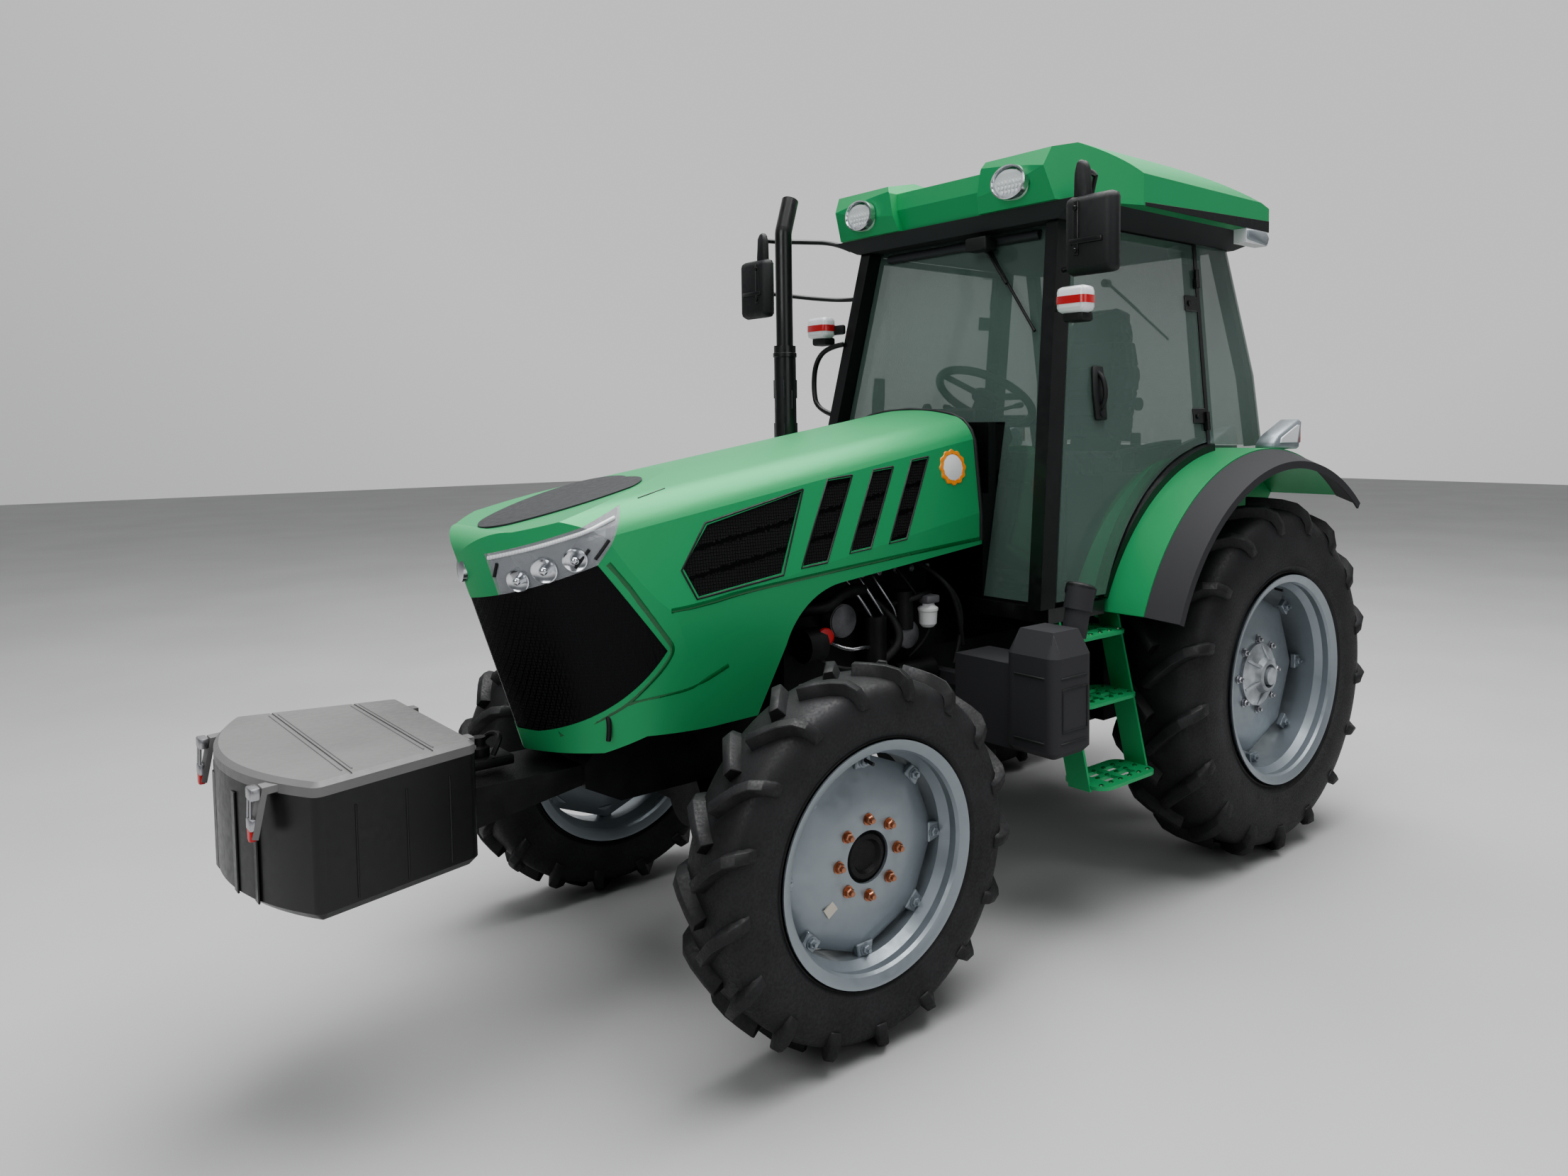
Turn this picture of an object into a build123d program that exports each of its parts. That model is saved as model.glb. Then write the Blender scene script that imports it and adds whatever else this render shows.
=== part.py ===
from build123d import *
import os
from math import atan2, cos, degrees, radians, sin, sqrt, tan

# Four-wheel-drive cab tractor. Millimetres, +X forward, +Y to the tractor's left, +Z up.
# Every piece is modelled from the point on the ground under the rear axle, and is written
# about the middle of the ground that the whole machine covers.

os.makedirs("parts", exist_ok=True)

# ---- overall ----
front_reach = 3415  # rear axle to the toolbox's front
wheelbase = 2050
running_gap = 0.4  # between faces that turn on each other
panel_gap = 6  # between a door, hood or lid and what it closes on

# ---- wheels: one row for each axle ----
# tread_r is to the lugs' tips, carcass_r to the tread between them
WHEELS = [
    dict(name="front", along=wheelbase, across=720, tread_r=525, carcass_r=492, width=245,
         bead_r=305, flange_r=330, flange_half=115, disc_out=30, lugs=17, lug_wide=42),
    dict(name="rear", along=0, across=710, tread_r=700, carcass_r=662, width=378,
         bead_r=381, flange_r=406, flange_half=180, disc_out=45, lugs=17, lug_wide=56),
]
FRONT, REAR = WHEELS
hub_z = REAR["tread_r"]
front_z = FRONT["tread_r"]
rim_wall = 7
disc_wall = 14

# ---- hood ----
hood_rear_x, hood_nose_x = 1160, 2840
hood_half = 360
hood_rear_top_z, hood_nose_top_z = 1750, 1416
hood_low_z, lip_low_z = 848, 785
hood_wall = 8
hood_hinge_z = 1700

# ---- cab ----
floor_z = 1080  # top of the floor
floor_wall = 50
cab_low_half = 650  # outer face of a front post at sill height
cab_top_half = 519  # and under the roof
sill_z, header_z = 1090, 2400
post_front_x, post_front_top_x = 1190, 946
post_long, post_wide = 75, 55
mid_post_x = (60, 118)
glass_wall = 6
glass_set = glass_wall + running_gap  # posts behind a pane stand this far in
door_wall = 32
door_frame_wide = 26

# ---- rear mudguards ----
guard_r = 894
guard_wall = 12
guard_in, guard_out, flare_out = 488, 800, 915
guard_start, guard_sweep = 22, 107  # degrees up from level ahead of the axle
guard_top = hub_z + guard_r

# ---- three-point hitch ----
link_pivot = Vector(-120, 300, 400)  # left lower link's front pin
link_length, link_half, link_down = 880, 420, 4
link_ball_r = 38
link_end = link_pivot + Vector(
    -link_length * cos(radians(link_down)), link_half - link_pivot.Y, -link_length * sin(radians(link_down))
)
rear_reach = link_ball_r - link_end.X

# ---- front axle ----
kingpin_inset = 80  # from the wheel's middle in to the kingpin
kingpin_half = FRONT["across"] - kingpin_inset
steer_arm = 190
beam_half_deep, beam_half_high = 55, 60


def save(shape, name):
    """Writes one finished piece, moved to the frame of the whole machine."""
    placed = shape.moved(Location(((rear_reach - front_reach) / 2, 0, 0)))
    placed.label = name
    export_step(placed, f"parts/{name}.step")


def block(x, y, z, mode=Mode.ADD):
    """Adds a box between the given pairs of limits to the part being built."""
    with Locations(((x[0] + x[1]) / 2, (y[0] + y[1]) / 2, (z[0] + z[1]) / 2)):
        Box(abs(x[1] - x[0]), abs(y[1] - y[0]), abs(z[1] - z[0]), mode=mode)


def profile(plane, points):
    """A closed outline of straight runs on a plane."""
    with BuildSketch(plane) as outline:
        with BuildLine():
            Polyline(*points, close=True)
        make_face()
    return outline.sketch


def rod(start, end, radius, mode=Mode.ADD):
    """Adds a round bar from one point to another to the part being built."""
    way = Vector(*end) - Vector(*start)
    with Locations(Plane(origin=start, z_dir=way)):
        Cylinder(radius, way.length, align=(Align.CENTER, Align.CENTER, Align.MIN), mode=mode)


# ======== tyres and wheels, made about Z and stood up on their places ========

def upright(wheel, side):
    """Stands a wheel's +Z out to its own side of the tractor."""
    turn = -90 * side
    return Location((wheel["along"], side * wheel["across"], wheel["tread_r"]), (turn, 0, 0))


def make_tyre(wheel):
    """A cross-ply drive tyre: a carcass of one facet for each lug and gap, with raised lugs."""
    facets = wheel["lugs"]
    half = wheel["width"] / 2
    crown_half = 0.36 * wheel["width"]
    bead_half = wheel["flange_half"] - rim_wall - running_gap
    shoulder_r = wheel["carcass_r"] - 0.30 * (wheel["carcass_r"] - wheel["flange_r"])
    wall_r = wheel["flange_r"] + 0.28 * (wheel["carcass_r"] - wheel["flange_r"])

    def ring(height, radius):
        with BuildSketch(Plane.XY.offset(height)) as outline:
            RegularPolygon(radius, facets, major_radius=False)
        return outline.sketch

    def leaning_ring(low, high, low_r, high_r, mode=Mode.ADD):
        lean = degrees(atan2(low_r - high_r, high - low))
        extrude(ring(low, low_r), amount=high - low, taper=lean, mode=mode)

    with BuildPart() as lug:
        base_r = shoulder_r - 4
        slant = 0.42 * wheel["width"]
        corner_s = slant / 2 + wheel["lug_wide"] / 2
        top_r = sqrt(wheel["tread_r"] ** 2 - corner_s ** 2)
        wide = wheel["lug_wide"]
        extrude(
            profile(
                Plane.YZ.offset(base_r),
                [
                    (slant / 2 - wide / 2, -0.02 * wheel["width"]),
                    (slant / 2 + wide / 2, -0.02 * wheel["width"]),
                    (-slant / 2 + wide / 2, half),
                    (-slant / 2 - wide / 2, half),
                ],
            ),
            amount=top_r - base_r,
        )
    with BuildPart() as tyre:
        extrude(ring(0, wheel["carcass_r"]), amount=crown_half)
        leaning_ring(crown_half, half, wheel["carcass_r"], shoulder_r)
        extrude(ring(0, wheel["bead_r"] + running_gap), amount=half, mode=Mode.SUBTRACT)
        leaning_ring(bead_half, half, wheel["flange_r"] + 3, wall_r, Mode.SUBTRACT)
        mirror(about=Plane.XY)
        with PolarLocations(0, wheel["lugs"]):
            add(lug.part)
        with PolarLocations(0, wheel["lugs"], start_angle=180 / wheel["lugs"]):
            add(lug.part.mirror(Plane.XY))
    return tyre.part


def make_wheel(wheel, hub_r, cap_r):
    """A steel rim with a dished, lobed disc welded in it."""
    lip, half, bead = wheel["flange_r"], wheel["flange_half"], wheel["bead_r"]
    with BuildPart() as rim:
        with BuildSketch(Plane.XZ):
            with BuildLine():
                Polyline(
                    (lip, half), (lip, half - rim_wall), (bead, half - rim_wall), (bead, rim_wall - half),
                    (lip, rim_wall - half), (lip, -half), (bead - 7, -half), (bead - 20, 40 - half),
                    (bead - 20, half - 40), (bead - 7, half), close=True,
                )
            make_face()
        revolve(axis=Axis.Z)
        # the disc reaches the rim on lobes, with openings between them
        disc_top = wheel["disc_out"] + disc_wall
        with BuildSketch(Plane.XY.offset(wheel["disc_out"])) as disc:
            Circle(bead - 18)
            with PolarLocations(bead - 22, 8, start_angle=22.5):
                Circle(0.19 * bead, mode=Mode.SUBTRACT)
            Circle(hub_r, mode=Mode.SUBTRACT)
        extrude(amount=disc_wall)
        with BuildSketch(Plane.XY.offset(disc_top)):
            Circle(hub_r + 62)
            Circle(cap_r, mode=Mode.SUBTRACT)
        extrude(amount=8)
    return rim.part


WHEEL_BORES = {"front": (72, 72), "rear": (95, 95)}
for wheel in WHEELS:
    tyre = make_tyre(wheel)
    hub_r, cap_r = WHEEL_BORES[wheel["name"]]
    rim = make_wheel(wheel, hub_r, cap_r)
    for side_name, side in (("left", 1), ("right", -1)):
        label = f"{wheel['name']}_{side_name}"
        save((tyre if side > 0 else tyre.mirror(Plane.XZ)).moved(upright(wheel, side)), f"tyre_{label}")
        save(rim.moved(upright(wheel, side)), f"wheel_{label}")

# ======== chassis ========

engine_x, engine_half, engine_z = (1230, 1900), 195, (620, 1240)
bolster_x, bolster_half, bolster_z = (1900, 2560), 150, (620, 790)
gearbox_x, gearbox_half, gearbox_z = (250, 1230), 165, (430, 1010)
axle_case_x, axle_case_half, axle_case_z = (-250, 250), 200, (450, floor_z - floor_wall)

with BuildPart() as engine_block:
    # crankcase, a head that narrows and a rocker cover
    extrude(
        profile(
            Plane.YZ.offset(engine_x[0]),
            [
                (-150, engine_z[0]), (150, engine_z[0]), (engine_half, 760), (engine_half, 1080),
                (150, 1110), (150, engine_z[1]), (110, 1330), (-110, 1330),
                (-150, engine_z[1]), (-150, 1110), (-engine_half, 1080), (-engine_half, 760),
            ],
        ),
        amount=engine_x[1] - engine_x[0],
    )
save(engine_block.part, "engine_block")

with BuildPart() as engine_fittings:
    # left side: alternator, starter, two filters, a fuel pump; each sits on the block
    face_y = engine_half
    rod((1800, face_y + 55, 1000), (1870, face_y + 55, 1000), 55)
    block((1805, 1865), (face_y, face_y + 30), (960, 1040))
    rod((1300, face_y + 45, 840), (1470, face_y + 45, 840), 45)
    rod((1560, face_y + 48, 900), (1560, face_y + 48, 1060), 42)
    block((1530, 1590), (face_y, face_y + 30), (1030, 1070))
    rod((1430, face_y + 45, 1000), (1430, face_y + 45, 1130), 38)
    block((1405, 1455), (face_y, face_y + 30), (1040, 1070))
save(engine_fittings.part, "engine_fittings")

radiator_x, radiator_half, radiator_z = (2150, 2250), 260, (790, 1380)
with BuildPart() as radiator:
    block(radiator_x, (-radiator_half, radiator_half), radiator_z)
    block((radiator_x[0] - 90, radiator_x[0]), (-230, 230), (830, 1330))
    with Locations(Plane(origin=(radiator_x[0] - 90, 0, 1080), z_dir=(1, 0, 0))):
        Hole(205, 90)
save(radiator.part, "radiator")

with BuildPart() as front_bolster:
    extrude(
        profile(
            Plane.XZ,
            [
                (bolster_x[0], bolster_z[0]), (2450, bolster_z[0]), (bolster_x[1], 680),
                (bolster_x[1], 745), (2520, bolster_z[1]), (bolster_x[0], bolster_z[1]),
            ],
        ),
        amount=bolster_half,
        both=True,
    )
save(front_bolster.part, "front_bolster")

with BuildPart() as gearbox_housing:
    extrude(
        profile(
            Plane.YZ.offset(gearbox_x[0]),
            [
                (-120, gearbox_z[0]), (120, gearbox_z[0]), (gearbox_half, 500), (gearbox_half, 900),
                (110, gearbox_z[1]), (-110, gearbox_z[1]), (-gearbox_half, 900), (-gearbox_half, 500),
            ],
        ),
        amount=gearbox_x[1] - gearbox_x[0],
    )
save(gearbox_housing.part, "gearbox_housing")

axle_tube_r, final_flange_r = 92, 150
pto_r, pto_z, pto_reach = 17.4, 640, 100
hub_face = {w["name"]: w["across"] + w["disc_out"] for w in WHEELS}
with BuildPart() as rear_axle_housing:
    extrude(
        profile(
            Plane.XZ,
            [
                (axle_case_x[0], 560), (-120, axle_case_z[0]), (axle_case_x[1], axle_case_z[0]),
                (axle_case_x[1], axle_case_z[1]), (-200, axle_case_z[1]), (axle_case_x[0], 960),
            ],
        ),
        amount=axle_case_half,
        both=True,
    )
    for side in (1, -1):
        rod((0, side * (axle_case_half - 10), hub_z), (0, side * 470, hub_z), axle_tube_r)
        rod((0, side * 400, hub_z), (0, side * 480, hub_z), final_flange_r)
        rod((0, side * 470, hub_z), (0, side * (hub_face["rear"] - running_gap), hub_z), 62)
        rod((0, side * 600, hub_z), (0, side * (hub_face["rear"] - running_gap), hub_z), 130)
        # lower link brackets with their pins, and the top link's lugs
        block((link_pivot.X - 60, link_pivot.X + 60), (side * 160, side * (link_pivot.Y - 30)),
              (link_pivot.Z - 40, axle_case_z[0] + 20))
        rod((link_pivot.X, side * (link_pivot.Y - 32), link_pivot.Z),
            (link_pivot.X, side * (link_pivot.Y + 32), link_pivot.Z), 14.6)
        block((-330, axle_case_x[0]), (side * 26, side * 40), (780, 860))
    rod((-300, -41, 820), (-300, 41, 820), 12.6)
    rod((axle_case_x[0] - pto_reach, 0, pto_z), (axle_case_x[0] + 10, 0, pto_z), pto_r)
save(rear_axle_housing.part, "rear_axle_housing")

# ======== front axle: a beam, two swivel housings on kingpins and a tie rod ========

ball_r, ball_half = 68, 78
with BuildPart() as front_axle_beam:
    extrude(
        profile(
            Plane.XZ.offset(-kingpin_half),
            [
                (wheelbase - beam_half_deep, front_z - beam_half_high),
                (wheelbase + beam_half_deep, front_z - beam_half_high),
                (wheelbase + beam_half_deep, front_z + beam_half_high),
                (wheelbase - beam_half_deep, front_z + beam_half_high),
            ],
        ),
        amount=2 * kingpin_half,
    )
    for side in (1, -1):
        with Locations((wheelbase, side * kingpin_half, front_z)):
            Cylinder(ball_r, 2 * ball_half)
    rod((wheelbase - 90, 0, front_z), (wheelbase + 100, 0, front_z), 95)
    rod((gearbox_x[1] + 3, 0, 560), (wheelbase - 80, 0, front_z), 32)
    block((wheelbase - 60, wheelbase + 60), (-60, 60), (front_z + beam_half_high, bolster_z[0] - running_gap))
save(front_axle_beam.part, "front_axle_beam")

with BuildPart() as knuckle_left:
    with Locations((wheelbase, kingpin_half, front_z)):
        Cylinder(ball_r + 40, 2 * ball_half + 70)
        Cylinder(ball_r + 6, 2 * (ball_half + running_gap), mode=Mode.SUBTRACT)
    block(
        (wheelbase - 200, wheelbase + 200),
        (kingpin_half - 200, kingpin_half + 22),
        (front_z - ball_half - running_gap, front_z + ball_half + running_gap),
        mode=Mode.SUBTRACT,
    )
    hub_end = hub_face["front"] - running_gap
    rod((wheelbase, kingpin_half + ball_r + 12, front_z), (wheelbase, hub_end, front_z), 98)
    arm_z = front_z - ball_half - running_gap
    arm_x, arm_y = (wheelbase - steer_arm - 26, wheelbase - 50), (kingpin_half - 28, kingpin_half + 28)
    block(arm_x, arm_y, (arm_z - 30, arm_z))
save(knuckle_left.part, "knuckle_left")
save(knuckle_left.part.mirror(Plane.XZ), "knuckle_right")

with BuildPart() as tie_rod:
    rod_z = arm_z + running_gap + 14
    rod((wheelbase - steer_arm, -kingpin_half, rod_z), (wheelbase - steer_arm, kingpin_half, rod_z), 13)
    for side in (1, -1):
        with Locations((wheelbase - steer_arm, side * kingpin_half, rod_z)):
            Cylinder(22, 28)
save(tie_rod.part, "tie_rod")

# ======== hood: one outer form, from which the shell, grille and lamps are cut ========

nose_z, nose_slope = 1345, 0.31  # the nose stands furthest out here, and slopes back by this below it


def nose_form(inset):
    """The hood's plan, which leans back from the nose down."""
    half = hood_half - inset
    with BuildPart() as form:
        with BuildSketch(Plane.XY.offset(nose_z)) as plan:
            with BuildLine():
                Line((hood_rear_x - 400, half), (2330, half))
                ThreePointArc(
                    (2330, half), (2700 - inset * 0.8, 240 - inset * 0.6), (hood_nose_x + 2 - inset, 0)
                )
                mirror(about=Plane.XZ)
                Line((hood_rear_x - 400, half), (hood_rear_x - 400, -half))
            make_face()
        for up in (1, -1):
            extrude(plan.sketch, amount=700, dir=(up * nose_slope, 0, up))
    return form.part


def hood_form(inset):
    """The hood's outer form, drawn in by an even amount: what its three views have in common."""
    slope = (hood_rear_top_z - 1541) / (2288 - hood_rear_x)
    length = hood_nose_x - hood_rear_x + 200
    nose = nose_form(inset)
    with BuildPart() as form:
        with BuildSketch(Plane.XZ):
            with BuildLine():
                Line((hood_rear_x, 700), (hood_rear_x, hood_rear_top_z - inset))
                Line((hood_rear_x, hood_rear_top_z - inset), (1700, 1672 - inset))
                ThreePointArc((1700, 1672 - inset), (2330, 1541 - inset), (2770 - inset, 1420 - inset))
                ThreePointArc(
                    (2770 - inset, 1420 - inset), (2826 - inset, 1395 - inset), (2840 - inset, nose_z)
                )
                Line((2840 - inset, nose_z), (2840 - inset, 700))
                Line((2840 - inset, 700), (hood_rear_x, 700))
            make_face()
        extrude(amount=hood_half + 50, both=True)
        add(nose, mode=Mode.INTERSECT)
        with BuildSketch(Plane.YZ.offset(hood_rear_x)):
            with BuildLine():
                half, top = hood_half - inset, hood_rear_top_z - inset
                Line((0, top), (0, 100))
                Line((0, 100), (half, 100))
                Line((half, 100), (half, 1390 - inset))
                Line((half, 1390 - inset), (half - 30, top - 105))
                ThreePointArc((half - 30, top - 105), (half - 70, top - 48), (half - 130, top - 22))
                ThreePointArc((half - 130, top - 22), (half / 2 - 60, top - 5), (0, top))
            make_face()
            mirror(about=Plane.YZ)
        extrude(amount=length, dir=(1, 0, -slope * 0.93), mode=Mode.INTERSECT)
    return form.part


lamp_low_rear, lamp_low_front = (2589, 1328), (2900, 1190)  # the lamps end here, and the grille begins
nose_band_half = 105  # painted band between the lamps
with BuildPart() as lamp_window:
    extrude(
        profile(Plane.XZ, [(2502, 1482), (2900, 1323), lamp_low_front, lamp_low_rear]),
        amount=hood_half + 20,
        both=True,
    )
    block((2300, 2950), (-nose_band_half, nose_band_half), (1100, 1520), mode=Mode.SUBTRACT)

with BuildPart() as grille_window:
    with BuildSketch(Plane.XZ):
        with BuildLine():
            Line((2406, 1078), lamp_low_rear)
            Line(lamp_low_rear, lamp_low_front)
            Line(lamp_low_front, (2900, 850))
            Line((2900, 850), (2660, 850))
            ThreePointArc((2660, 850), (2518, 946), (2406, 1078))
        make_face()
    extrude(amount=hood_half + 20, both=True)

with BuildPart() as hood_underside:
    # what is open below the hood: the engine side, the wheel arch and the nose
    with BuildSketch(Plane.XZ):
        with BuildLine():
            Line((hood_rear_x - 50, 600), (hood_rear_x - 50, 1283))
            Line((hood_rear_x - 50, 1283), (1800, 1206))
            ThreePointArc((1800, 1206), (1930, 1150), (2010, 1040))
            Line((2010, 1040), (2117, hood_low_z))
            Line((2117, hood_low_z), (2450, hood_low_z - 8))
            Line((2450, hood_low_z - 8), (2540, lip_low_z + 10))
            Line((2540, lip_low_z + 10), (2700, lip_low_z))
            Line((2700, lip_low_z), (2700, 600))
            Line((2700, 600), (hood_rear_x - 50, 600))
        make_face()
    extrude(amount=hood_half + 60, both=True)


air_intake = [(1925, 1495), (2263, 1415), (2350, 1301), (2308, 1218), (2023, 1257)]
vent_lean = 0.45
# one row for each slot: rear edge at the top, width, top and bottom heights
VENT_SLOTS = ((1730, 98, 1531, 1276), (1556, 86, 1553, 1305), (1397, 76, 1581, 1323))
with BuildPart() as vent_windows:
    extrude(profile(Plane.XZ, air_intake), amount=hood_half + 20, both=True)
    for rear, wide, high, low in VENT_SLOTS:
        lean = vent_lean * (high - low)
        outline = [
            (rear, high), (rear + wide, high - 9), (rear + wide + lean, low - 5), (rear + lean, low + 4),
        ]
        extrude(profile(Plane.XZ, outline), amount=hood_half + 20, both=True)
    block((1200, 2450), (60 - hood_half, hood_half - 60), (1150, 1650), mode=Mode.SUBTRACT)

outer, inner = hood_form(0), hood_form(hood_wall)
hinge_x, hinge_pin_r = hood_rear_x + 14, 8
strap_y = (186, 198)
with BuildPart() as hood_straps:
    for side in (1, -1):
        block((hood_rear_x, hinge_x + 14), (side * strap_y[0], side * strap_y[1]), (hood_hinge_z - 16, 1800))
        with Locations(Plane(origin=(hinge_x, 0, hood_hinge_z), z_dir=(0, 1, 0))):
            Cylinder(hinge_pin_r + running_gap, 500, mode=Mode.SUBTRACT)
    add(outer, mode=Mode.INTERSECT)
with BuildPart() as hood_shell:
    add(outer)
    add(inner, mode=Mode.SUBTRACT)
    add(hood_straps.part)
    for opening in (hood_underside, lamp_window, grille_window, vent_windows):
        add(opening.part, mode=Mode.SUBTRACT)
save(hood_shell.part, "hood_shell")

with BuildPart() as nose_grille:
    add(hood_form(2))
    add(hood_form(hood_wall + 6), mode=Mode.SUBTRACT)
    add(grille_window.part, mode=Mode.INTERSECT)
with BuildPart() as hood_vents:
    add(hood_form(3))
    add(inner, mode=Mode.SUBTRACT)
    add(vent_windows.part, mode=Mode.INTERSECT)
with BuildPart() as hood_grilles:
    add(nose_grille.part)
    add(hood_vents.part)
save(hood_grilles.part, "hood_grilles")

with BuildPart() as headlamps:
    add(outer)
    add(hood_form(hood_wall + 28), mode=Mode.SUBTRACT)
    add(lamp_window.part, mode=Mode.INTERSECT)
save(headlamps.part, "headlamps")

pad_rear_x, pad_nose_x, pad_half = 2330, 2775, 172
with BuildPart() as nose_pad:
    add(hood_form(-4))
    add(outer, mode=Mode.SUBTRACT)
    with BuildSketch(Plane.XY.offset(1300)):
        with BuildLine():
            ThreePointArc((pad_rear_x, 0), (pad_rear_x + 16, pad_half * 0.7), (pad_rear_x + 80, pad_half))
            pad_turn = (pad_nose_x - 45, pad_half * 0.55)
            ThreePointArc((pad_rear_x + 80, pad_half), (2600, pad_half * 0.93), pad_turn)
            ThreePointArc(pad_turn, (pad_nose_x - 12, pad_half * 0.28), (pad_nose_x, 0))
            mirror(about=Plane.XZ)
        make_face()
    extrude(amount=400, mode=Mode.INTERSECT)
save(nose_pad.part, "nose_pad")

# ======== cab ========

cab_lean = degrees(atan2(cab_low_half - cab_top_half, 2434 - sill_z))
side_up = 1 / cos(radians(cab_lean))
side_plane = Plane(
    origin=(0, cab_low_half, sill_z),
    x_dir=(-1, 0, 0),
    z_dir=(0, cos(radians(cab_lean)), sin(radians(cab_lean))),
)


def on_side(points):
    """Points (along, height) set out on the leaning plane of the cab's left side."""
    return [(-x, (z - sill_z) * side_up) for x, z in points]


def cab_half(z):
    """Half the cab's width at a height."""
    return cab_low_half - (z - sill_z) * tan(radians(cab_lean))


def post_x(z):
    """The front face of a front post at a height."""
    return post_front_x + (post_front_top_x - post_front_x) * (z - sill_z) / (header_z - sill_z)


rear_edge = [(-290, 1600), (-268, 1890), (-128, header_z)]  # the rear corner's line, low to high


def around_guard(radius):
    """A cutter for what follows the mudguard's curve."""
    with BuildPart() as cutter:
        with Locations(Plane(origin=(0, 0, hub_z), z_dir=(0, 1, 0))):
            Cylinder(radius, 3000)
    return cutter.part


door_hinge_x, door_hinge_out = mid_post_x[1] + 3, 12
barrel_r, barrel_long, barrel_pin_r = 9, 36, 5


def hinge_plane(z):
    """Across a door hinge's leaning pin at a height: +X forward, +Y outward."""
    foot = side_plane.from_local_coords(Vector(-door_hinge_x, (z - sill_z) * side_up, door_hinge_out))
    return Plane(origin=foot, x_dir=(1, 0, 0), z_dir=side_plane.y_dir)


hinge_strip_x = mid_post_x[1] - 22  # the middle post comes out to the panes' faces from here
DOOR_HINGES_Z = (guard_top + 106, header_z - 140)
with BuildPart() as cab_posts:
    low, high = floor_z, header_z
    extrude(
        profile(
            side_plane,
            on_side([
                (post_x(low), low), (post_x(high), high),
                (post_x(high) - post_long, high), (post_x(low) - post_long, low),
            ]),
        ),
        amount=-post_wide,
    )
    for from_x, depth in ((mid_post_x[0], glass_set), (hinge_strip_x, 0)):
        extrude(
            profile(
                side_plane.offset(-depth),
                on_side([
                    (from_x, 1500), (mid_post_x[1], 1500), (mid_post_x[1], header_z), (from_x, header_z),
                ]),
            ),
            amount=depth - post_wide,
        )
    extrude(
        profile(
            side_plane.offset(-glass_set),
            on_side(
                [(x, z) for x, z in rear_edge] + [(x + 45, z) for x, z in reversed(rear_edge)]
            ),
        ),
        amount=glass_set - post_wide,
    )
    for z in DOOR_HINGES_Z:
        with Locations(hinge_plane(z)):
            Cylinder(barrel_r, barrel_long, align=(Align.CENTER, Align.CENTER, Align.MIN))
            Cylinder(barrel_pin_r, 2 * barrel_long, align=(Align.CENTER, Align.CENTER, Align.CENTER))
            with Locations((-8, -6, barrel_long / 2)):
                Box(14, 12, barrel_long)
    # a strip along the mudguard, that the door closes on
    strip_in, strip_out = guard_r + running_gap, guard_r + 27
    strip_start, strip_end = 25, 82
    with BuildSketch(Plane.XZ.offset(-(cab_low_half - 12))):
        with BuildLine():
            CenterArc((0, hub_z), strip_in, strip_start, strip_end - strip_start)
            CenterArc((0, hub_z), strip_out, strip_start, strip_end - strip_start)
            for turn in (strip_start, strip_end):
                across, up = cos(radians(turn)), sin(radians(turn))
                Line((strip_in * across, hub_z + strip_in * up), (strip_out * across, hub_z + strip_out * up))
        make_face()
    extrude(amount=45)
    block((-400, 1400), (0, 900), (header_z, header_z + 100), mode=Mode.SUBTRACT)
    block((-400, 1400), (0, 900), (floor_z - 200, floor_z), mode=Mode.SUBTRACT)
    add(around_guard(guard_r + running_gap), mode=Mode.SUBTRACT)
    mirror(about=Plane.XZ)
save(cab_posts.part, "cab_posts")

door_low, door_high = sill_z + 8, header_z - panel_gap
door_rear = mid_post_x[1] + panel_gap
with BuildSketch(side_plane) as door_outline:
    with BuildLine():
        Polyline(
            *on_side([
                (post_x(door_low) - post_long - panel_gap, door_low),
                (post_x(door_high) - post_long - panel_gap, door_high),
                (door_rear, door_high), (door_rear, door_low),
            ]),
            close=True,
        )
    make_face()
    with Locations(on_side([(0, hub_z)])[0]):
        Circle(guard_r + 36, mode=Mode.SUBTRACT)
with BuildSketch(side_plane) as door_pane:
    add(door_outline.sketch_local)
    offset(amount=-door_frame_wide, mode=Mode.REPLACE)
pane_setback = Location(side_plane.z_dir * -glass_set)
with BuildPart() as door_frame:
    extrude(door_outline.sketch.moved(pane_setback), amount=glass_set - door_wall)
    extrude(door_pane.sketch, amount=-door_wall, mode=Mode.SUBTRACT)
    for z in DOOR_HINGES_Z:
        with Locations(hinge_plane(z)):
            with Locations((8, -8 - glass_set / 2, -barrel_long / 2 - running_gap)):
                Box(14, 16 + glass_set, barrel_long - running_gap)
            with Locations((0, 0, -running_gap)):
                Cylinder(barrel_r, barrel_long, align=(Align.CENTER, Align.CENTER, Align.MAX))
            Cylinder(barrel_pin_r + running_gap, 3 * barrel_long, mode=Mode.SUBTRACT)
with BuildPart() as door_glass:
    extrude(door_outline.sketch, amount=-glass_wall)
    # clear of the hinges' leaves
    for z in DOOR_HINGES_Z:
        with Locations(hinge_plane(z)):
            with Locations((8, -6, -barrel_long / 2 - running_gap)):
                Box(18, 30, barrel_long + 4, mode=Mode.SUBTRACT)
for side_name, side in (("left", 1), ("right", -1)):
    for piece, name in ((door_frame.part, "door_frame"), (door_glass.part, "door_glass")):
        save(piece if side > 0 else piece.mirror(Plane.XZ), f"{name}_{side_name}")

with BuildPart() as quarter_windows:
    with BuildSketch(side_plane) as quarter_outline:
        with BuildLine():
            Polyline(
                *on_side(
                    [(x, z) for x, z in rear_edge]
                    + [(hinge_strip_x - 1, header_z), (hinge_strip_x - 1, 1500)]
                ),
                close=True,
            )
        make_face()
        with Locations(on_side([(0, hub_z)])[0]):
            Circle(guard_r + 6, mode=Mode.SUBTRACT)
    extrude(amount=-glass_wall)
    mirror(about=Plane.XZ)

screen_set = 62  # the windscreen stands this far behind the front posts' faces
bulkhead_half, bulkhead_top = 335, 1700


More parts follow.
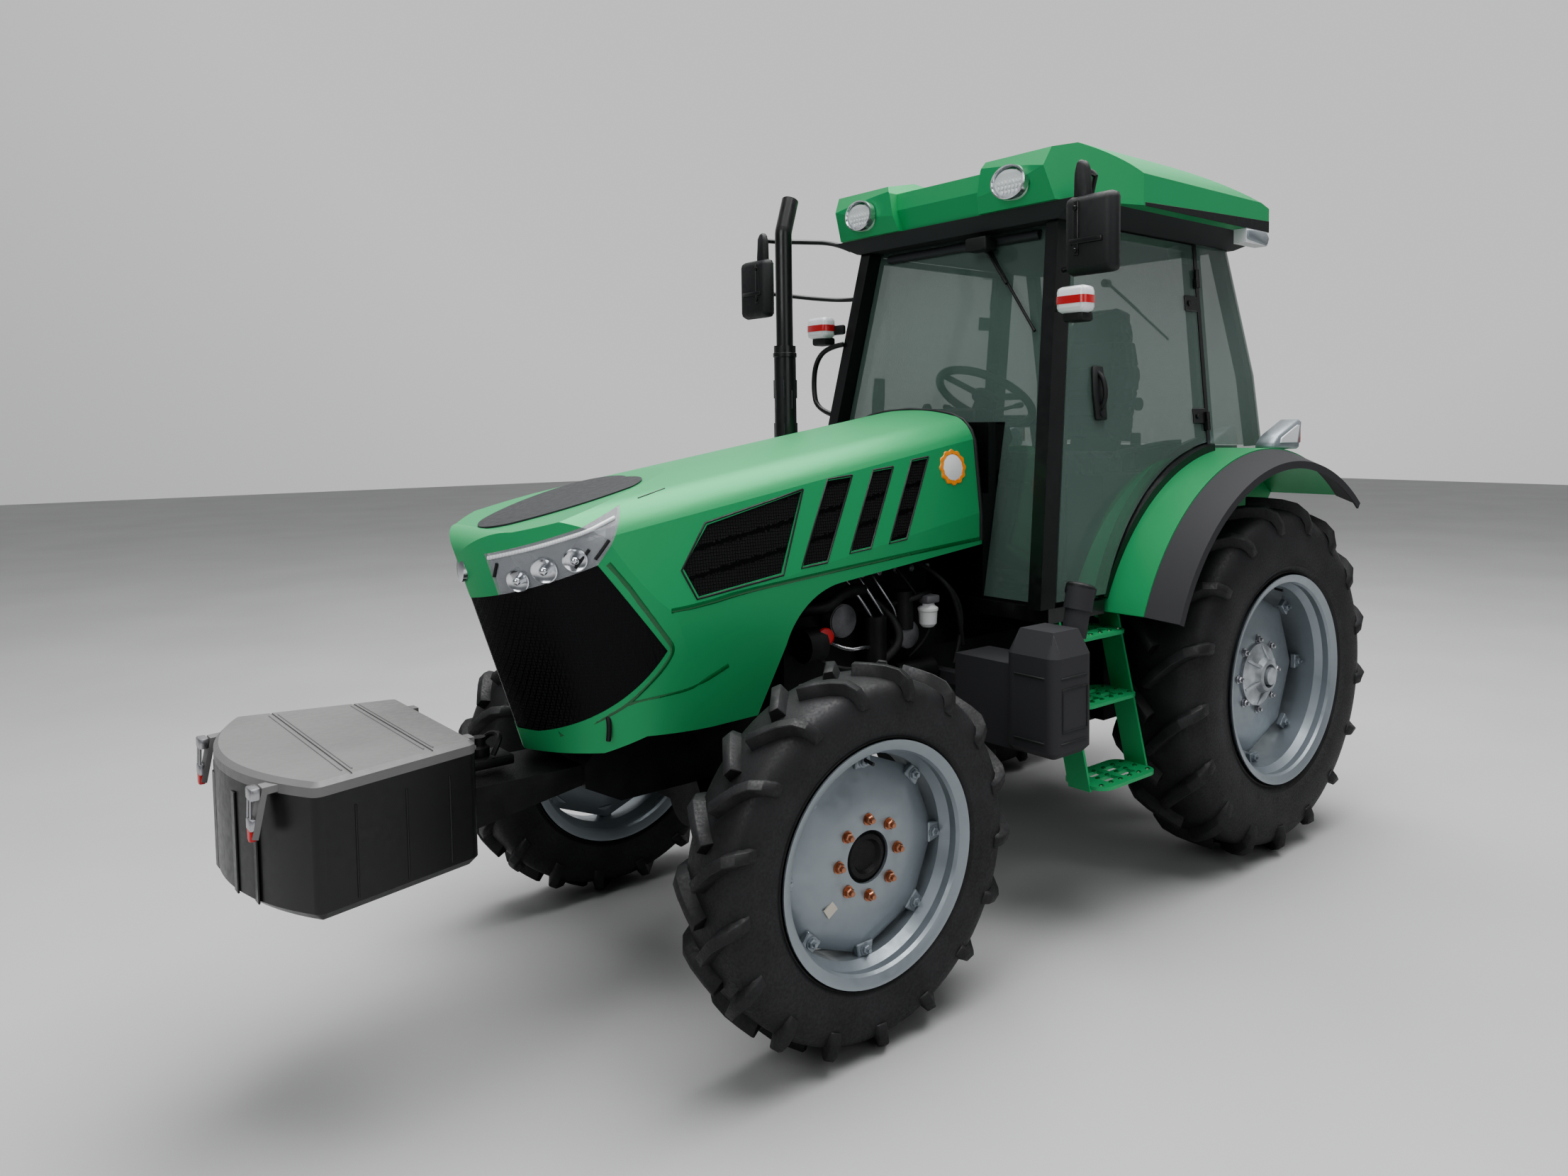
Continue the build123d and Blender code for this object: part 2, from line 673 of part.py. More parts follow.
def across_cab(inset):
    """The cab's leaning cross-section, drawn in from its side faces."""
    low, high = cab_half(sill_z) - inset, cab_half(header_z) - inset
    outline = [(-low, sill_z), (low, sill_z), (high, header_z), (-high, header_z)]
    return profile(Plane.YZ.offset(-600), outline)


with BuildPart() as windshield:
    extrude(
        profile(
            Plane.XZ,
            [
                (post_x(sill_z) - screen_set, sill_z), (post_x(header_z) - screen_set, header_z),
                (post_x(header_z) - screen_set - glass_wall, header_z),
                (post_x(sill_z) - screen_set - glass_wall, sill_z),
            ],
        ),
        amount=700,
        both=True,
    )
    extrude(across_cab(post_wide + 3), amount=2000, mode=Mode.INTERSECT)
    bulkhead_y = (-bulkhead_half - 2, bulkhead_half + 2)
    block((900, 1300), bulkhead_y, (floor_z, bulkhead_top + 2), mode=Mode.SUBTRACT)

with BuildPart() as rear_window:
    rear_glass = [(x - glass_set, z) for x, z in rear_edge]
    rear_glass += [(x - running_gap, z) for x, z in reversed(rear_edge)]
    extrude(profile(Plane.XZ, rear_glass), amount=700, both=True)
    extrude(across_cab(1), amount=2000, mode=Mode.INTERSECT)
with BuildPart() as cab_windows:
    for pane in (windshield, rear_window, quarter_windows):
        add(pane.part)
save(cab_windows.part, "cab_windows")

with BuildPart() as cab_floor:
    block((845, 1150), (-cab_low_half, cab_low_half), (floor_z - floor_wall, floor_z))
    block((-290, 845), (-guard_in, guard_in), (floor_z - floor_wall, floor_z))
save(cab_floor.part, "cab_floor")

with BuildPart() as cab_panels:
    # below the windscreen behind the hood, and below the rear window
    block((1100, 1130), (-bulkhead_half, bulkhead_half), (floor_z, bulkhead_top - 250))
    block((1062, 1100), (-bulkhead_half, bulkhead_half), (floor_z, bulkhead_top))
    block((-290, -250), (-guard_in, guard_in), (floor_z, 1598))
    # ears and pins for the hood's hinge
    for side in (1, -1):
        block((1062, hinge_x + 14), (side * (strap_y[0] - 24), side * (strap_y[0] - 12)),
              (hood_hinge_z - 16, hood_hinge_z + 10))
        pin_start = (hinge_x, side * (strap_y[0] - 20), hood_hinge_z)
        rod(pin_start, (hinge_x, side * (strap_y[1] + 6), hood_hinge_z), hinge_pin_r)
save(cab_panels.part, "cab_panels")

# ======== mudguards ========

guard_plane = Plane(
    origin=(0, 0, hub_z),
    x_dir=(0, 1, 0),
    z_dir=(sin(radians(guard_start)), 0, -cos(radians(guard_start))),
)
guard_axis = Axis((0, 0, hub_z), (0, -1, 0))
with BuildPart() as fender_left:
    with BuildSketch(guard_plane):
        with BuildLine():
            Polyline(
                (guard_in, 420), (guard_in + guard_wall, 420), (guard_in + guard_wall, guard_r - guard_wall),
                (guard_out, guard_r - guard_wall), (guard_out, guard_r), (guard_in, guard_r), close=True,
            )
        make_face()
    revolve(axis=guard_axis, revolution_arc=guard_sweep)
with BuildPart() as fender_flares:
    with BuildSketch(guard_plane):
        with BuildLine():
            Polyline(
                (guard_out + 0.3, guard_r - 4), (guard_out + 0.3, guard_r - 4 - guard_wall),
                (flare_out - 8, guard_r - 58), (flare_out - 8, guard_r - 76), (flare_out, guard_r - 76),
                (flare_out, guard_r - 48), close=True,
            )
        make_face()
    revolve(axis=guard_axis, revolution_arc=guard_sweep)
    mirror(about=Plane.XZ)
save(fender_left.part, "fender_left")
save(fender_left.part.mirror(Plane.XZ), "fender_right")
save(fender_flares.part, "fender_flares")

# ======== roof ========

roof_front_x, roof_rear_x, roof_half = 1060, -310, 700
roof_low_z = 2450
roof_lamp_y = roof_half - 302
pod_y = (roof_lamp_y - 185, roof_half)  # the raised housings of the front lamps
with BuildPart() as roof_lamps:
    for side in (1, -1):
        lamp_place = (1000, side * roof_lamp_y, 2528)
        with BuildSketch(Plane(origin=lamp_place, x_dir=(0, 1, 0), z_dir=(1, 0, -0.15))):
            Ellipse(72, 52)
        extrude(amount=60)
pods = []
for side in (1, -1):
    pod_side = [
        (680, roof_low_z), (680, 2634), (870, 2660), (roof_front_x - 30, 2624),
        (roof_front_x, 2560), (roof_front_x - 42, roof_low_z),
    ]
    pod_front = [
        (side * pod_y[0], roof_low_z), (side * (pod_y[0] + 30), 2596), (side * (pod_y[0] + 90), 2700),
        (side * pod_y[1], 2700), (side * pod_y[1], roof_low_z),
    ]
    with BuildPart() as pod:
        extrude(profile(Plane.XZ, pod_side), amount=roof_half, both=True)
        extrude(profile(Plane.YZ, pod_front), amount=2000, mode=Mode.INTERSECT)
    pods.append(pod.part)
with BuildPart() as roof_shell:
    with BuildSketch(Plane.XZ):
        with BuildLine():
            Line((roof_rear_x, 2476), (roof_rear_x, 2492))
            ThreePointArc((roof_rear_x, 2492), (300, 2632), (820, 2640))
            Line((820, 2640), (roof_front_x - 60, 2596))
            Line((roof_front_x - 60, 2596), (roof_front_x - 50, 2530))
            Line((roof_front_x - 50, 2530), (roof_front_x - 70, roof_low_z))
            Line((roof_front_x - 70, roof_low_z), (roof_rear_x + 160, roof_low_z))
            Line((roof_rear_x + 160, roof_low_z), (roof_rear_x, 2476))
        make_face()
    extrude(amount=roof_half, both=True)
    for pod in pods:
        add(pod)
    with BuildSketch(Plane.YZ.offset(roof_rear_x - 10)):
        with BuildLine():
            Line((-roof_half, 2300), (roof_half, 2300))
            Line((roof_half, 2300), (roof_half, 2560))
            ThreePointArc((roof_half, 2560), (roof_half - 60, 2622), (roof_half - 200, 2666))
            ThreePointArc((roof_half - 200, 2666), (0, 2700), (200 - roof_half, 2666))
            ThreePointArc((200 - roof_half, 2666), (60 - roof_half, 2622), (-roof_half, 2560))
            Line((-roof_half, 2560), (-roof_half, 2300))
        make_face()
    extrude(amount=1500, mode=Mode.INTERSECT)
    with BuildSketch(Plane.XY.offset(2400)):
        with BuildLine():
            Line((roof_rear_x, -roof_half + 120), (roof_rear_x, roof_half - 120))
            Line((roof_rear_x, roof_half - 120), (roof_rear_x + 160, roof_half))
            Line((roof_rear_x + 160, roof_half), (700, roof_half))
            Line((700, roof_half), (roof_front_x, roof_half - 150))
            ThreePointArc(
                (roof_front_x, roof_half - 150), (roof_front_x - 25, 0), (roof_front_x, 150 - roof_half)
            )
            Line((roof_front_x, 150 - roof_half), (700, -roof_half))
            Line((700, -roof_half), (roof_rear_x + 160, -roof_half))
            Line((roof_rear_x + 160, -roof_half), (roof_rear_x, -roof_half + 120))
        make_face()
    extrude(amount=400, mode=Mode.INTERSECT)
    add(roof_lamps.part, mode=Mode.SUBTRACT)
save(roof_shell.part, "roof_shell")

with BuildPart() as roof_lining:
    with BuildSketch(Plane.XY.offset(header_z)):
        with Locations((395, 0)):
            Rectangle(1130, 2 * (cab_half(header_z) + 10))
    with BuildSketch(Plane.XY.offset(roof_low_z)):
        with Locations((375, 0)):
            Rectangle(1250, 2 * (roof_half - 60))
    loft(ruled=True)
save(roof_lining.part, "roof_lining")

# ======== inside the cab ========

seat_x, seat_half, seat_z = (60, 560), 250, 1560
seat_back_place = Location((70, 0, seat_z + 20), (0, -12, 0))
with BuildPart() as back_frame:
    block((-20 - running_gap, -running_gap), (-130, 130), (-150, 260))
with BuildPart() as seat_base:
    extrude(
        profile(
            Plane.XZ,
            [
                (120, floor_z), (520, floor_z), (480, floor_z + 200), (500, seat_z - 110),
                (60, seat_z - 110), (160, floor_z + 200),
            ],
        ),
        amount=190,
        both=True,
    )
    add(back_frame.part.moved(seat_back_place))
save(seat_base.part, "seat_base")

with BuildPart() as seat_cushion:
    block((seat_x[0] + 40, seat_x[1]), (-seat_half, seat_half), (seat_z - 109.7, seat_z))
    fillet(seat_cushion.edges().filter_by(Axis.Z), 50)
save(seat_cushion.part, "seat_cushion")

with BuildPart() as seat_back:
    with BuildSketch(Plane.YZ.offset(0)):
        with BuildLine():
            Polyline((-235, 0), (235, 0), (245, 330), (180, 520), (120, 640), (-120, 640), (-180, 520),
                     (-245, 330), close=True)
        make_face()
    extrude(amount=110)
save(seat_back.part.moved(seat_back_place), "seat_back")

wheel_centre = Vector(755, 0, 1800)
wheel_lean = 32
column_way = Vector(sin(radians(wheel_lean)), 0, -cos(radians(wheel_lean)))
with BuildPart() as dash_console:
    rod(wheel_centre + column_way * (15 + running_gap), wheel_centre + column_way * 200, 34)
    extrude(
        profile(
            Plane.XZ,
            [
                (900, floor_z), (1055, floor_z), (1055, 1640), (960, 1700), (840, 1690), (820, 1640),
                (930, 1500),
            ],
        ),
        amount=200,
        both=True,
    )
save(dash_console.part, "dash_console")

rim_r, rim_bar_r = 195, 15
with BuildPart() as steering_wheel:
    with BuildSketch(Plane.XZ):
        with Locations((rim_r, 0)):
            RegularPolygon(rim_bar_r, 8)
    revolve(axis=Axis.Z)
    Cylinder(48, 2 * rim_bar_r)
    with PolarLocations(rim_r - 85, 3):
        Box(150, 26, 14)
wheel_place = Plane(origin=wheel_centre, x_dir=(0, 1, 0), z_dir=column_way * -1).location
save(steering_wheel.part.moved(wheel_place), "steering_wheel")

with BuildPart() as side_consoles:
    for side in (1, -1):
        block((-180, 620), (side * 300, side * 470), (floor_z, 1500))
    for along, tall in ((470, 190), (400, 160), (330, 150), (540, 140)):
        rod((along, -380, 1500), (along + 20, -380, 1500 + tall), 7)
        rod((along + 20, -380, 1500 + tall - 4), (along + 26, -380, 1500 + tall + 40), 17)
save(side_consoles.part, "side_consoles")

# ======== outside fittings ========

step_top_z = floor_z - floor_wall
step_x = (770, 1090)
# one row for each tread: height and outer edge
TREADS = ((974, 706), (758, 754), (502, 832))
tread_deep, tread_wall, rail_wall = 185, 12, 10
with BuildPart() as steps_left:
    for height, out in TREADS:
        with BuildSketch(Plane.XY.offset(height - tread_wall)):
            with Locations(((step_x[0] + step_x[1]) / 2, out - tread_deep / 2)):
                RectangleRounded(step_x[1] - step_x[0], tread_deep, 55)
            with Locations(((step_x[0] + step_x[1]) / 2, out - tread_deep / 2)):
                with GridLocations(95, 60, 2, 2):
                    Rectangle(70, 34, mode=Mode.SUBTRACT)
        extrude(amount=tread_wall)
    for along in step_x:
        with BuildSketch(Plane.YZ.offset(along - rail_wall / 2)):
            with BuildLine():
                Polyline(
                    (560, step_top_z), (650, step_top_z), (TREADS[2][1] - 50, TREADS[2][0] - 20),
                    (TREADS[2][1] - 140, TREADS[2][0] - 20), close=True,
                )
            make_face()
        extrude(amount=rail_wall)
save(steps_left.part, "steps_left")
save(steps_left.part.mirror(Plane.XZ), "steps_right")

tank_x, tank_y, tank_z = (1160, 1354), (638, 846), (650, 1045)
tank_shoulder_z = 968
tank_inner_y, tank_inner_z = 400, 926  # its lower inboard part
with BuildPart() as fuel_tank:
    block(tank_x, tank_y, (tank_z[0], tank_shoulder_z))
    fillet(fuel_tank.edges().filter_by(Axis.Z), 34)
    chamfer(fuel_tank.faces().sort_by(Axis.Z)[0].edges(), 22)
    shoulder = fuel_tank.faces().sort_by(Axis.Z)[-1]
    extrude(shoulder, amount=tank_z[1] - tank_shoulder_z, taper=25)
    block((tank_x[0] + 8, tank_x[1] - 18), (tank_inner_y, tank_y[0] + 60), (tank_z[0], tank_inner_z))
    neck_y = tank_y[1] - 86
    rod((tank_x[0] - 4, neck_y, tank_z[1] - 40), (tank_x[0] - 24, neck_y + 4, tank_z[1] + 60), 41)
    rod((tank_x[0] - 21, neck_y + 3, tank_z[1] + 48), (tank_x[0] - 36, neck_y + 6, tank_z[1] + 118), 47)
    block((1240, 1290), (engine_half, tank_inner_y + 5), (800, 840))
save(fuel_tank.part, "fuel_tank")

with BuildPart() as battery_box:
    block(tank_x, (-760, -tank_inner_y), (620, 960))
    fillet(battery_box.edges(), 18)
    block((1240, 1290), (-405, -engine_half), (800, 840))
save(battery_box.part, "battery_box")

stack_x, stack_y, stack_r = 1400, -450, 32
with BuildPart() as exhaust_stack:
    with BuildLine() as stack_way:
        FilletPolyline(
            (stack_x, -engine_half, 1040), (stack_x, stack_y, 1040), (stack_x, stack_y, 2430),
            (stack_x - 50, stack_y - 20, 2560), radius=60,
        )
    with BuildSketch(Plane(origin=stack_way.line @ 0, z_dir=stack_way.line % 0)):
        Circle(stack_r)
    sweep(path=stack_way.line)
    rod((stack_x, stack_y, 1180), (stack_x, stack_y, 2000), stack_r + 10)
save(exhaust_stack.part, "exhaust_stack")

mirror_z, mirror_foot_z = 2270, 2300
mirror_foot_x = post_x(mirror_foot_z - 20) + running_gap
with BuildPart() as mirror_left:
    with BuildSketch(Plane(origin=(1205, 880, mirror_z), x_dir=(0, 1, 0), z_dir=(1, 0, 0))):
        RectangleRounded(190, 244, 40)
    extrude(amount=42)
    rod((mirror_foot_x + 12, cab_half(mirror_foot_z) - 30, mirror_foot_z), (1225, 880, 2450), 12)
    block(
        (mirror_foot_x, mirror_foot_x + 24),
        (cab_half(mirror_foot_z) - 50, cab_half(mirror_foot_z) - 12),
        (mirror_foot_z - 20, mirror_foot_z + 14),
    )
    rod((1225, 880, 2455), (1225, 880, mirror_z + 100), 12)
save(mirror_left.part, "mirror_left")
save(mirror_left.part.mirror(Plane.XZ), "mirror_right")

with BuildPart() as work_lamps:
    for side in (1, -1):
        block((-140, 20), (side * (roof_half - 55), side * roof_half), (roof_low_z - 55, roof_low_z))
    add(roof_lamps.part)
save(work_lamps.part, "work_lamps")

marker_z = 2090
with BuildPart() as side_lamps:
    for side in (1, -1):
        block((1010, 1075), (side * 615, side * 735), (marker_z - 30, marker_z + 55))
        bracket_y = (side * (cab_half(marker_z - 12) + 0.5), side * 620)
        block((975, 1040), bracket_y, (marker_z - 12, marker_z + 12))
        fender_lamp = [
            (-70, guard_top + 22), (-285, guard_top + 112), (-262, guard_top + 8), (-150, guard_top - 6),
        ]
        extrude(profile(Plane.XZ.offset(-side * 700), fender_lamp), amount=-side * 80)
        block((-230, -180), (side * 710, side * 750), (guard_top - 34, guard_top + 16))
    add(around_guard(guard_r + 0.05), mode=Mode.SUBTRACT)
save(side_lamps.part, "side_lamps")

# ======== toolbox on its bracket ========

box_x, box_z = (2915, front_reach), (606, 921)
box_front_half, box_rear_half = 388, 290
box_bow = 110  # the front stands out this far in its middle
box_corner_r = 24
lid_z = 888
box_wall = 5
lid_hinge_x, lid_barrel_r = box_x[0] - 10, 8
LID_HINGES_Y = (-200, 200)


def box_plan(z, inset):
    """The toolbox's bowed outline at a height, drawn in by a wall."""
    front, rear = box_x[1] - inset, box_x[0] + inset
    with BuildSketch(Plane.XY.offset(z)) as plan:
        with BuildLine():
            wide, narrow, corner = box_front_half - inset, box_rear_half - inset, front - box_bow
            Polyline((corner, wide), (rear, narrow), (rear, -narrow), (corner, -wide))
            ThreePointArc((corner, -wide), (front, 0), (corner, wide))
        make_face()
        fillet(plan.vertices(), box_corner_r - inset)
    return plan.sketch


with BuildPart() as toolbox:
    extrude(box_plan(box_z[0], 0), amount=lid_z - running_gap - box_z[0])
    chamfer(toolbox.faces().sort_by(Axis.Z)[0].edges(), 20)
    extrude(box_plan(box_z[0] + 24, box_wall), amount=lid_z - box_z[0], mode=Mode.SUBTRACT)
    for middle in LID_HINGES_Y:
        rod((lid_hinge_x, middle - 40, lid_z), (lid_hinge_x, middle - running_gap, lid_z), lid_barrel_r)
        block((lid_hinge_x - 4, box_x[0] + 1), (middle - 40, middle - running_gap), (lid_z - 34, lid_z - 6))
save(toolbox.part, "toolbox")

latch_y, latch_wide = 269, 40
LID_GROOVES_X = (3030, 3225)
with BuildPart() as toolbox_lid:
    extrude(box_plan(lid_z, 0), amount=box_z[1] - lid_z)
    chamfer(toolbox_lid.faces().sort_by(Axis.Z)[-1].edges(), 11)
    extrude(box_plan(lid_z, box_wall), amount=box_z[1] - lid_z - 14, mode=Mode.SUBTRACT)
    for along in LID_GROOVES_X:
        groove_y, groove_z = (-box_front_half, box_front_half), (box_z[1] - 3, box_z[1])
        block((along - 3, along + 3), groove_y, groove_z, mode=Mode.SUBTRACT)
    for middle in LID_HINGES_Y:
        rod((lid_hinge_x, middle, lid_z), (lid_hinge_x, middle + 40, lid_z), lid_barrel_r)
        block((lid_hinge_x - 4, box_x[0] + 1), (middle, middle + 40), (lid_z + 4, lid_z + 26))
    # toggle latches, that hang in front of the box
    latch_x = box_x[1] - box_bow * ((latch_y - latch_wide / 2) / box_front_half) ** 2
    lever = [
        (latch_x - 14, lid_z + 4), (latch_x - 14, lid_z + 20), (latch_x + 18, lid_z + 18),
        (front_reach - 4, lid_z - 92), (front_reach - 16, lid_z - 96), (latch_x + 9, lid_z + 2),
    ]
    for side in (1, -1):
        extrude(
            profile(Plane.XZ.offset(-side * latch_y + latch_wide / 2), lever),
            amount=-latch_wide,
        )
save(toolbox_lid.part, "toolbox_lid")

with BuildPart() as toolbox_bracket:
    extrude(
        profile(
            Plane.XZ,
            [
                (bolster_x[1], 685), (2860, box_z[0] + 30), (box_x[0], box_z[0] + 30),
                (box_x[0], 745), (2860, 745), (bolster_x[1], 742),
            ],
        ),
        amount=130,
        both=True,
    )
save(toolbox_bracket.part, "toolbox_bracket")

# ======== rear hitch, drawbar and power take-off ========

eye_r, ball_wide, pin_r = 14.2, 44, 14.6
link_bar_r = 22
rod_share = 0.5  # of the lower link, where the lift rod takes it
with BuildPart() as lower_links:
    for side in (1, -1):
        start = Vector(link_pivot.X, side * link_pivot.Y, link_pivot.Z)
        end = Vector(link_end.X, side * link_end.Y, link_end.Z)
        way = (end - start).normalized()
        rod(start + way * 20, end - way * 20, link_bar_r)
        for eye, outer_r, inner_r in ((start, 34, pin_r + running_gap), (end, link_ball_r, eye_r)):
            with Locations(Plane(origin=eye, z_dir=(0, 1, 0))):
                Cylinder(outer_r, ball_wide)
                Cylinder(inner_r, ball_wide + 20, mode=Mode.SUBTRACT)
save(lower_links.part, "lower_links")

lift_pivot, lift_arm, lift_drop = (-235, 890), 310, 5
arm_y = (axle_case_half + 14, axle_case_half + 38)
arm_end = (
    lift_pivot[0] - lift_arm * cos(radians(lift_drop)),
    lift_pivot[1] - lift_arm * sin(radians(lift_drop)),
)
with BuildPart() as lift_arms:
    for side in (1, -1):
        with BuildSketch(Plane.XZ.offset(-side * arm_y[0])):
            with BuildLine():
                Polyline(
                    (lift_pivot[0] + 10, lift_pivot[1] + 46), (arm_end[0], arm_end[1] + 26),
                    (arm_end[0] - 26, arm_end[1]), (arm_end[0], arm_end[1] - 26),
                    (lift_pivot[0] - 10, lift_pivot[1] - 46), (lift_pivot[0] + 46, lift_pivot[1]), close=True,
                )
            make_face()
        extrude(amount=-side * (arm_y[1] - arm_y[0]))
        rod((lift_pivot[0], side * (axle_case_half + running_gap), lift_pivot[1]),
            (lift_pivot[0], side * arm_y[1], lift_pivot[1]), 40)
        rod((arm_end[0], side * arm_y[0], arm_end[1]), (arm_end[0], side * (arm_y[1] + 30), arm_end[1]), 11)
save(lift_arms.part, "lift_arms")

take = link_pivot + (link_end - link_pivot) * rod_share
fork_half = link_bar_r + 10
with BuildPart() as lift_rods:
    for side in (1, -1):
        top = Vector(arm_end[0], side * (arm_y[1] + 18), arm_end[1])
        low = Vector(take.X, side * take.Y, take.Z)
        way = (low - top).normalized()
        rod(top + way * 18, low - way * 62, 15)
        with Locations(Plane(origin=top, z_dir=(0, 1, 0))):
            Cylinder(24, 22)
            Cylinder(11 + running_gap, 40, mode=Mode.SUBTRACT)
        fork_y = (low.Y - fork_half - 8, low.Y + fork_half + 8)
        block((low.X - 26, low.X + 26), fork_y, (low.Z + 50, low.Z + 64))
        for out in (1, -1):
            block((low.X - 20, low.X + 20), (low.Y + out * fork_half, low.Y + out * (fork_half + 8)),
                  (low.Z - 24, low.Z + 52))
save(lift_rods.part, "lift_rods")

top_pivot, top_end = Vector(-300, 0, 820), Vector(-700, 0, 930)
with BuildPart() as top_link:
    way = (top_end - top_pivot).normalized()
    rod(top_pivot, top_end - way * 20, 19)
    for eye, outer_r, inner_r in ((top_pivot, 26, 13), (top_end, 32, 12.8)):
        with Locations(Plane(origin=eye, z_dir=(0, 1, 0))):
            Cylinder(outer_r, 50)
            Cylinder(inner_r, 70, mode=Mode.SUBTRACT)
save(top_link.part, "top_link")

pin_behind_pto = 406
drawbar_pin_x = axle_case_x[0] - pto_reach - pin_behind_pto
drawbar_pin_r, drawbar_z = 15.5, (395, 427)
with BuildPart() as drawbar:
    block((drawbar_pin_x - 60, axle_case_x[1]), (-32, 32), drawbar_z)
    block((0, 60), (-32, 32), (drawbar_z[1], axle_case_z[0]))
    with Locations((drawbar_pin_x, 0, drawbar_z[1])):
        Hole(drawbar_pin_r, 60)
save(drawbar.part, "drawbar")
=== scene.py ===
import bpy
from math import atan2, copysign, cos, pi, radians, sin, sqrt
from mathutils import Matrix, Vector


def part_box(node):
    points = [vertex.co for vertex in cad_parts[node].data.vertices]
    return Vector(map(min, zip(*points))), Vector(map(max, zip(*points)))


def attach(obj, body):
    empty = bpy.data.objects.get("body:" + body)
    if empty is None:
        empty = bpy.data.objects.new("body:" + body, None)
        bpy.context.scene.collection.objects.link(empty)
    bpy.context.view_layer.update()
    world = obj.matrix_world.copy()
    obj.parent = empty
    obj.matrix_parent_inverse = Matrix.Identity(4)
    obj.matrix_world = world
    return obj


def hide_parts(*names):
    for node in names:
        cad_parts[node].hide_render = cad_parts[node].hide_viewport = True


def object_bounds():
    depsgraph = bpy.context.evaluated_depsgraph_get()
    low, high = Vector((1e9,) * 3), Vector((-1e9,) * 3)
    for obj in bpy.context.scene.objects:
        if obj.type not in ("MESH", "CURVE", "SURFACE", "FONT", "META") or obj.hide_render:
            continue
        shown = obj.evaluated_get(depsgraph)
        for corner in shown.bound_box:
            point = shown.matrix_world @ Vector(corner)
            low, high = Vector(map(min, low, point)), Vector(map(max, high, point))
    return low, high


# Four-wheel-drive cab tractor. Metres, +X forward, +Y to the tractor's left, +Z up.
# Places are set out from the ground under the rear axle, by at().

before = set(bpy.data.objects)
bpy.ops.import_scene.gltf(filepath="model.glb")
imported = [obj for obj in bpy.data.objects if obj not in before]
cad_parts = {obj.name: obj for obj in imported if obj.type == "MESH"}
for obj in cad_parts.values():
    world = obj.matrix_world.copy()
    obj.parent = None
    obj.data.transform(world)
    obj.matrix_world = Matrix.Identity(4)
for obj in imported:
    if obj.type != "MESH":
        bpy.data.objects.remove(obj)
cad_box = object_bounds()
bpy.ops.object.select_all(action="DESELECT")

rear_low, rear_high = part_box("wheel_rear_left")
rear_x = (rear_low.x + rear_high.x) / 2

ORIGIN = Vector((0, 0, 0))
FORWARD, BACK = Vector((1, 0, 0)), Vector((-1, 0, 0))
LEFT, RIGHT = Vector((0, 1, 0)), Vector((0, -1, 0))
UP, DOWN = Vector((0, 0, 1)), Vector((0, 0, -1))
SIDES = (("left", 1), ("right", -1))


def at(x, y, z):
    """A place measured forward from the rear axle."""
    return Vector((rear_x + x, y, z))


# ======== finishes ========

GREEN = (0.001, 0.135, 0.034)
BLACK = (0.007, 0.007, 0.008)
SILVER = (0.33, 0.37, 0.40)
RUBBER = (0.010, 0.010, 0.011)
PLASTIC = (0.013, 0.014, 0.015)
PAD_GREY = (0.030, 0.032, 0.036)
BOX_BLACK = (0.016, 0.016, 0.017)
LID_GREY = (0.19, 0.187, 0.186)
DARK_IRON = (0.012, 0.012, 0.013)
GREY_IRON = (0.16, 0.16, 0.17)
BRIGHT_IRON = (0.42, 0.44, 0.46)
STEEL = (0.50, 0.50, 0.52)
CHROME = (0.78, 0.80, 0.83)
COPPER = (0.50, 0.25, 0.16)
RED = (0.60, 0.03, 0.03)
ORANGE = (0.85, 0.30, 0.04)
WHITE = (0.75, 0.76, 0.76)
CREAM = (0.62, 0.58, 0.50)
LAMP_WHITE = (0.82, 0.84, 0.86)
LENS_CLEAR = (0.80, 0.83, 0.88)
GLASS_TINT = (0.16, 0.24, 0.21)
CLOTH = (0.050, 0.052, 0.058)
# the grille's holes are painted shade: near black, in place of real openings
MESH_METAL, MESH_HOLE_SHADE = (0.020, 0.020, 0.022), (0.002, 0.002, 0.002)


FINISHES = {}  # by name, as the frame has a plain green_paint and black_plastic of its own


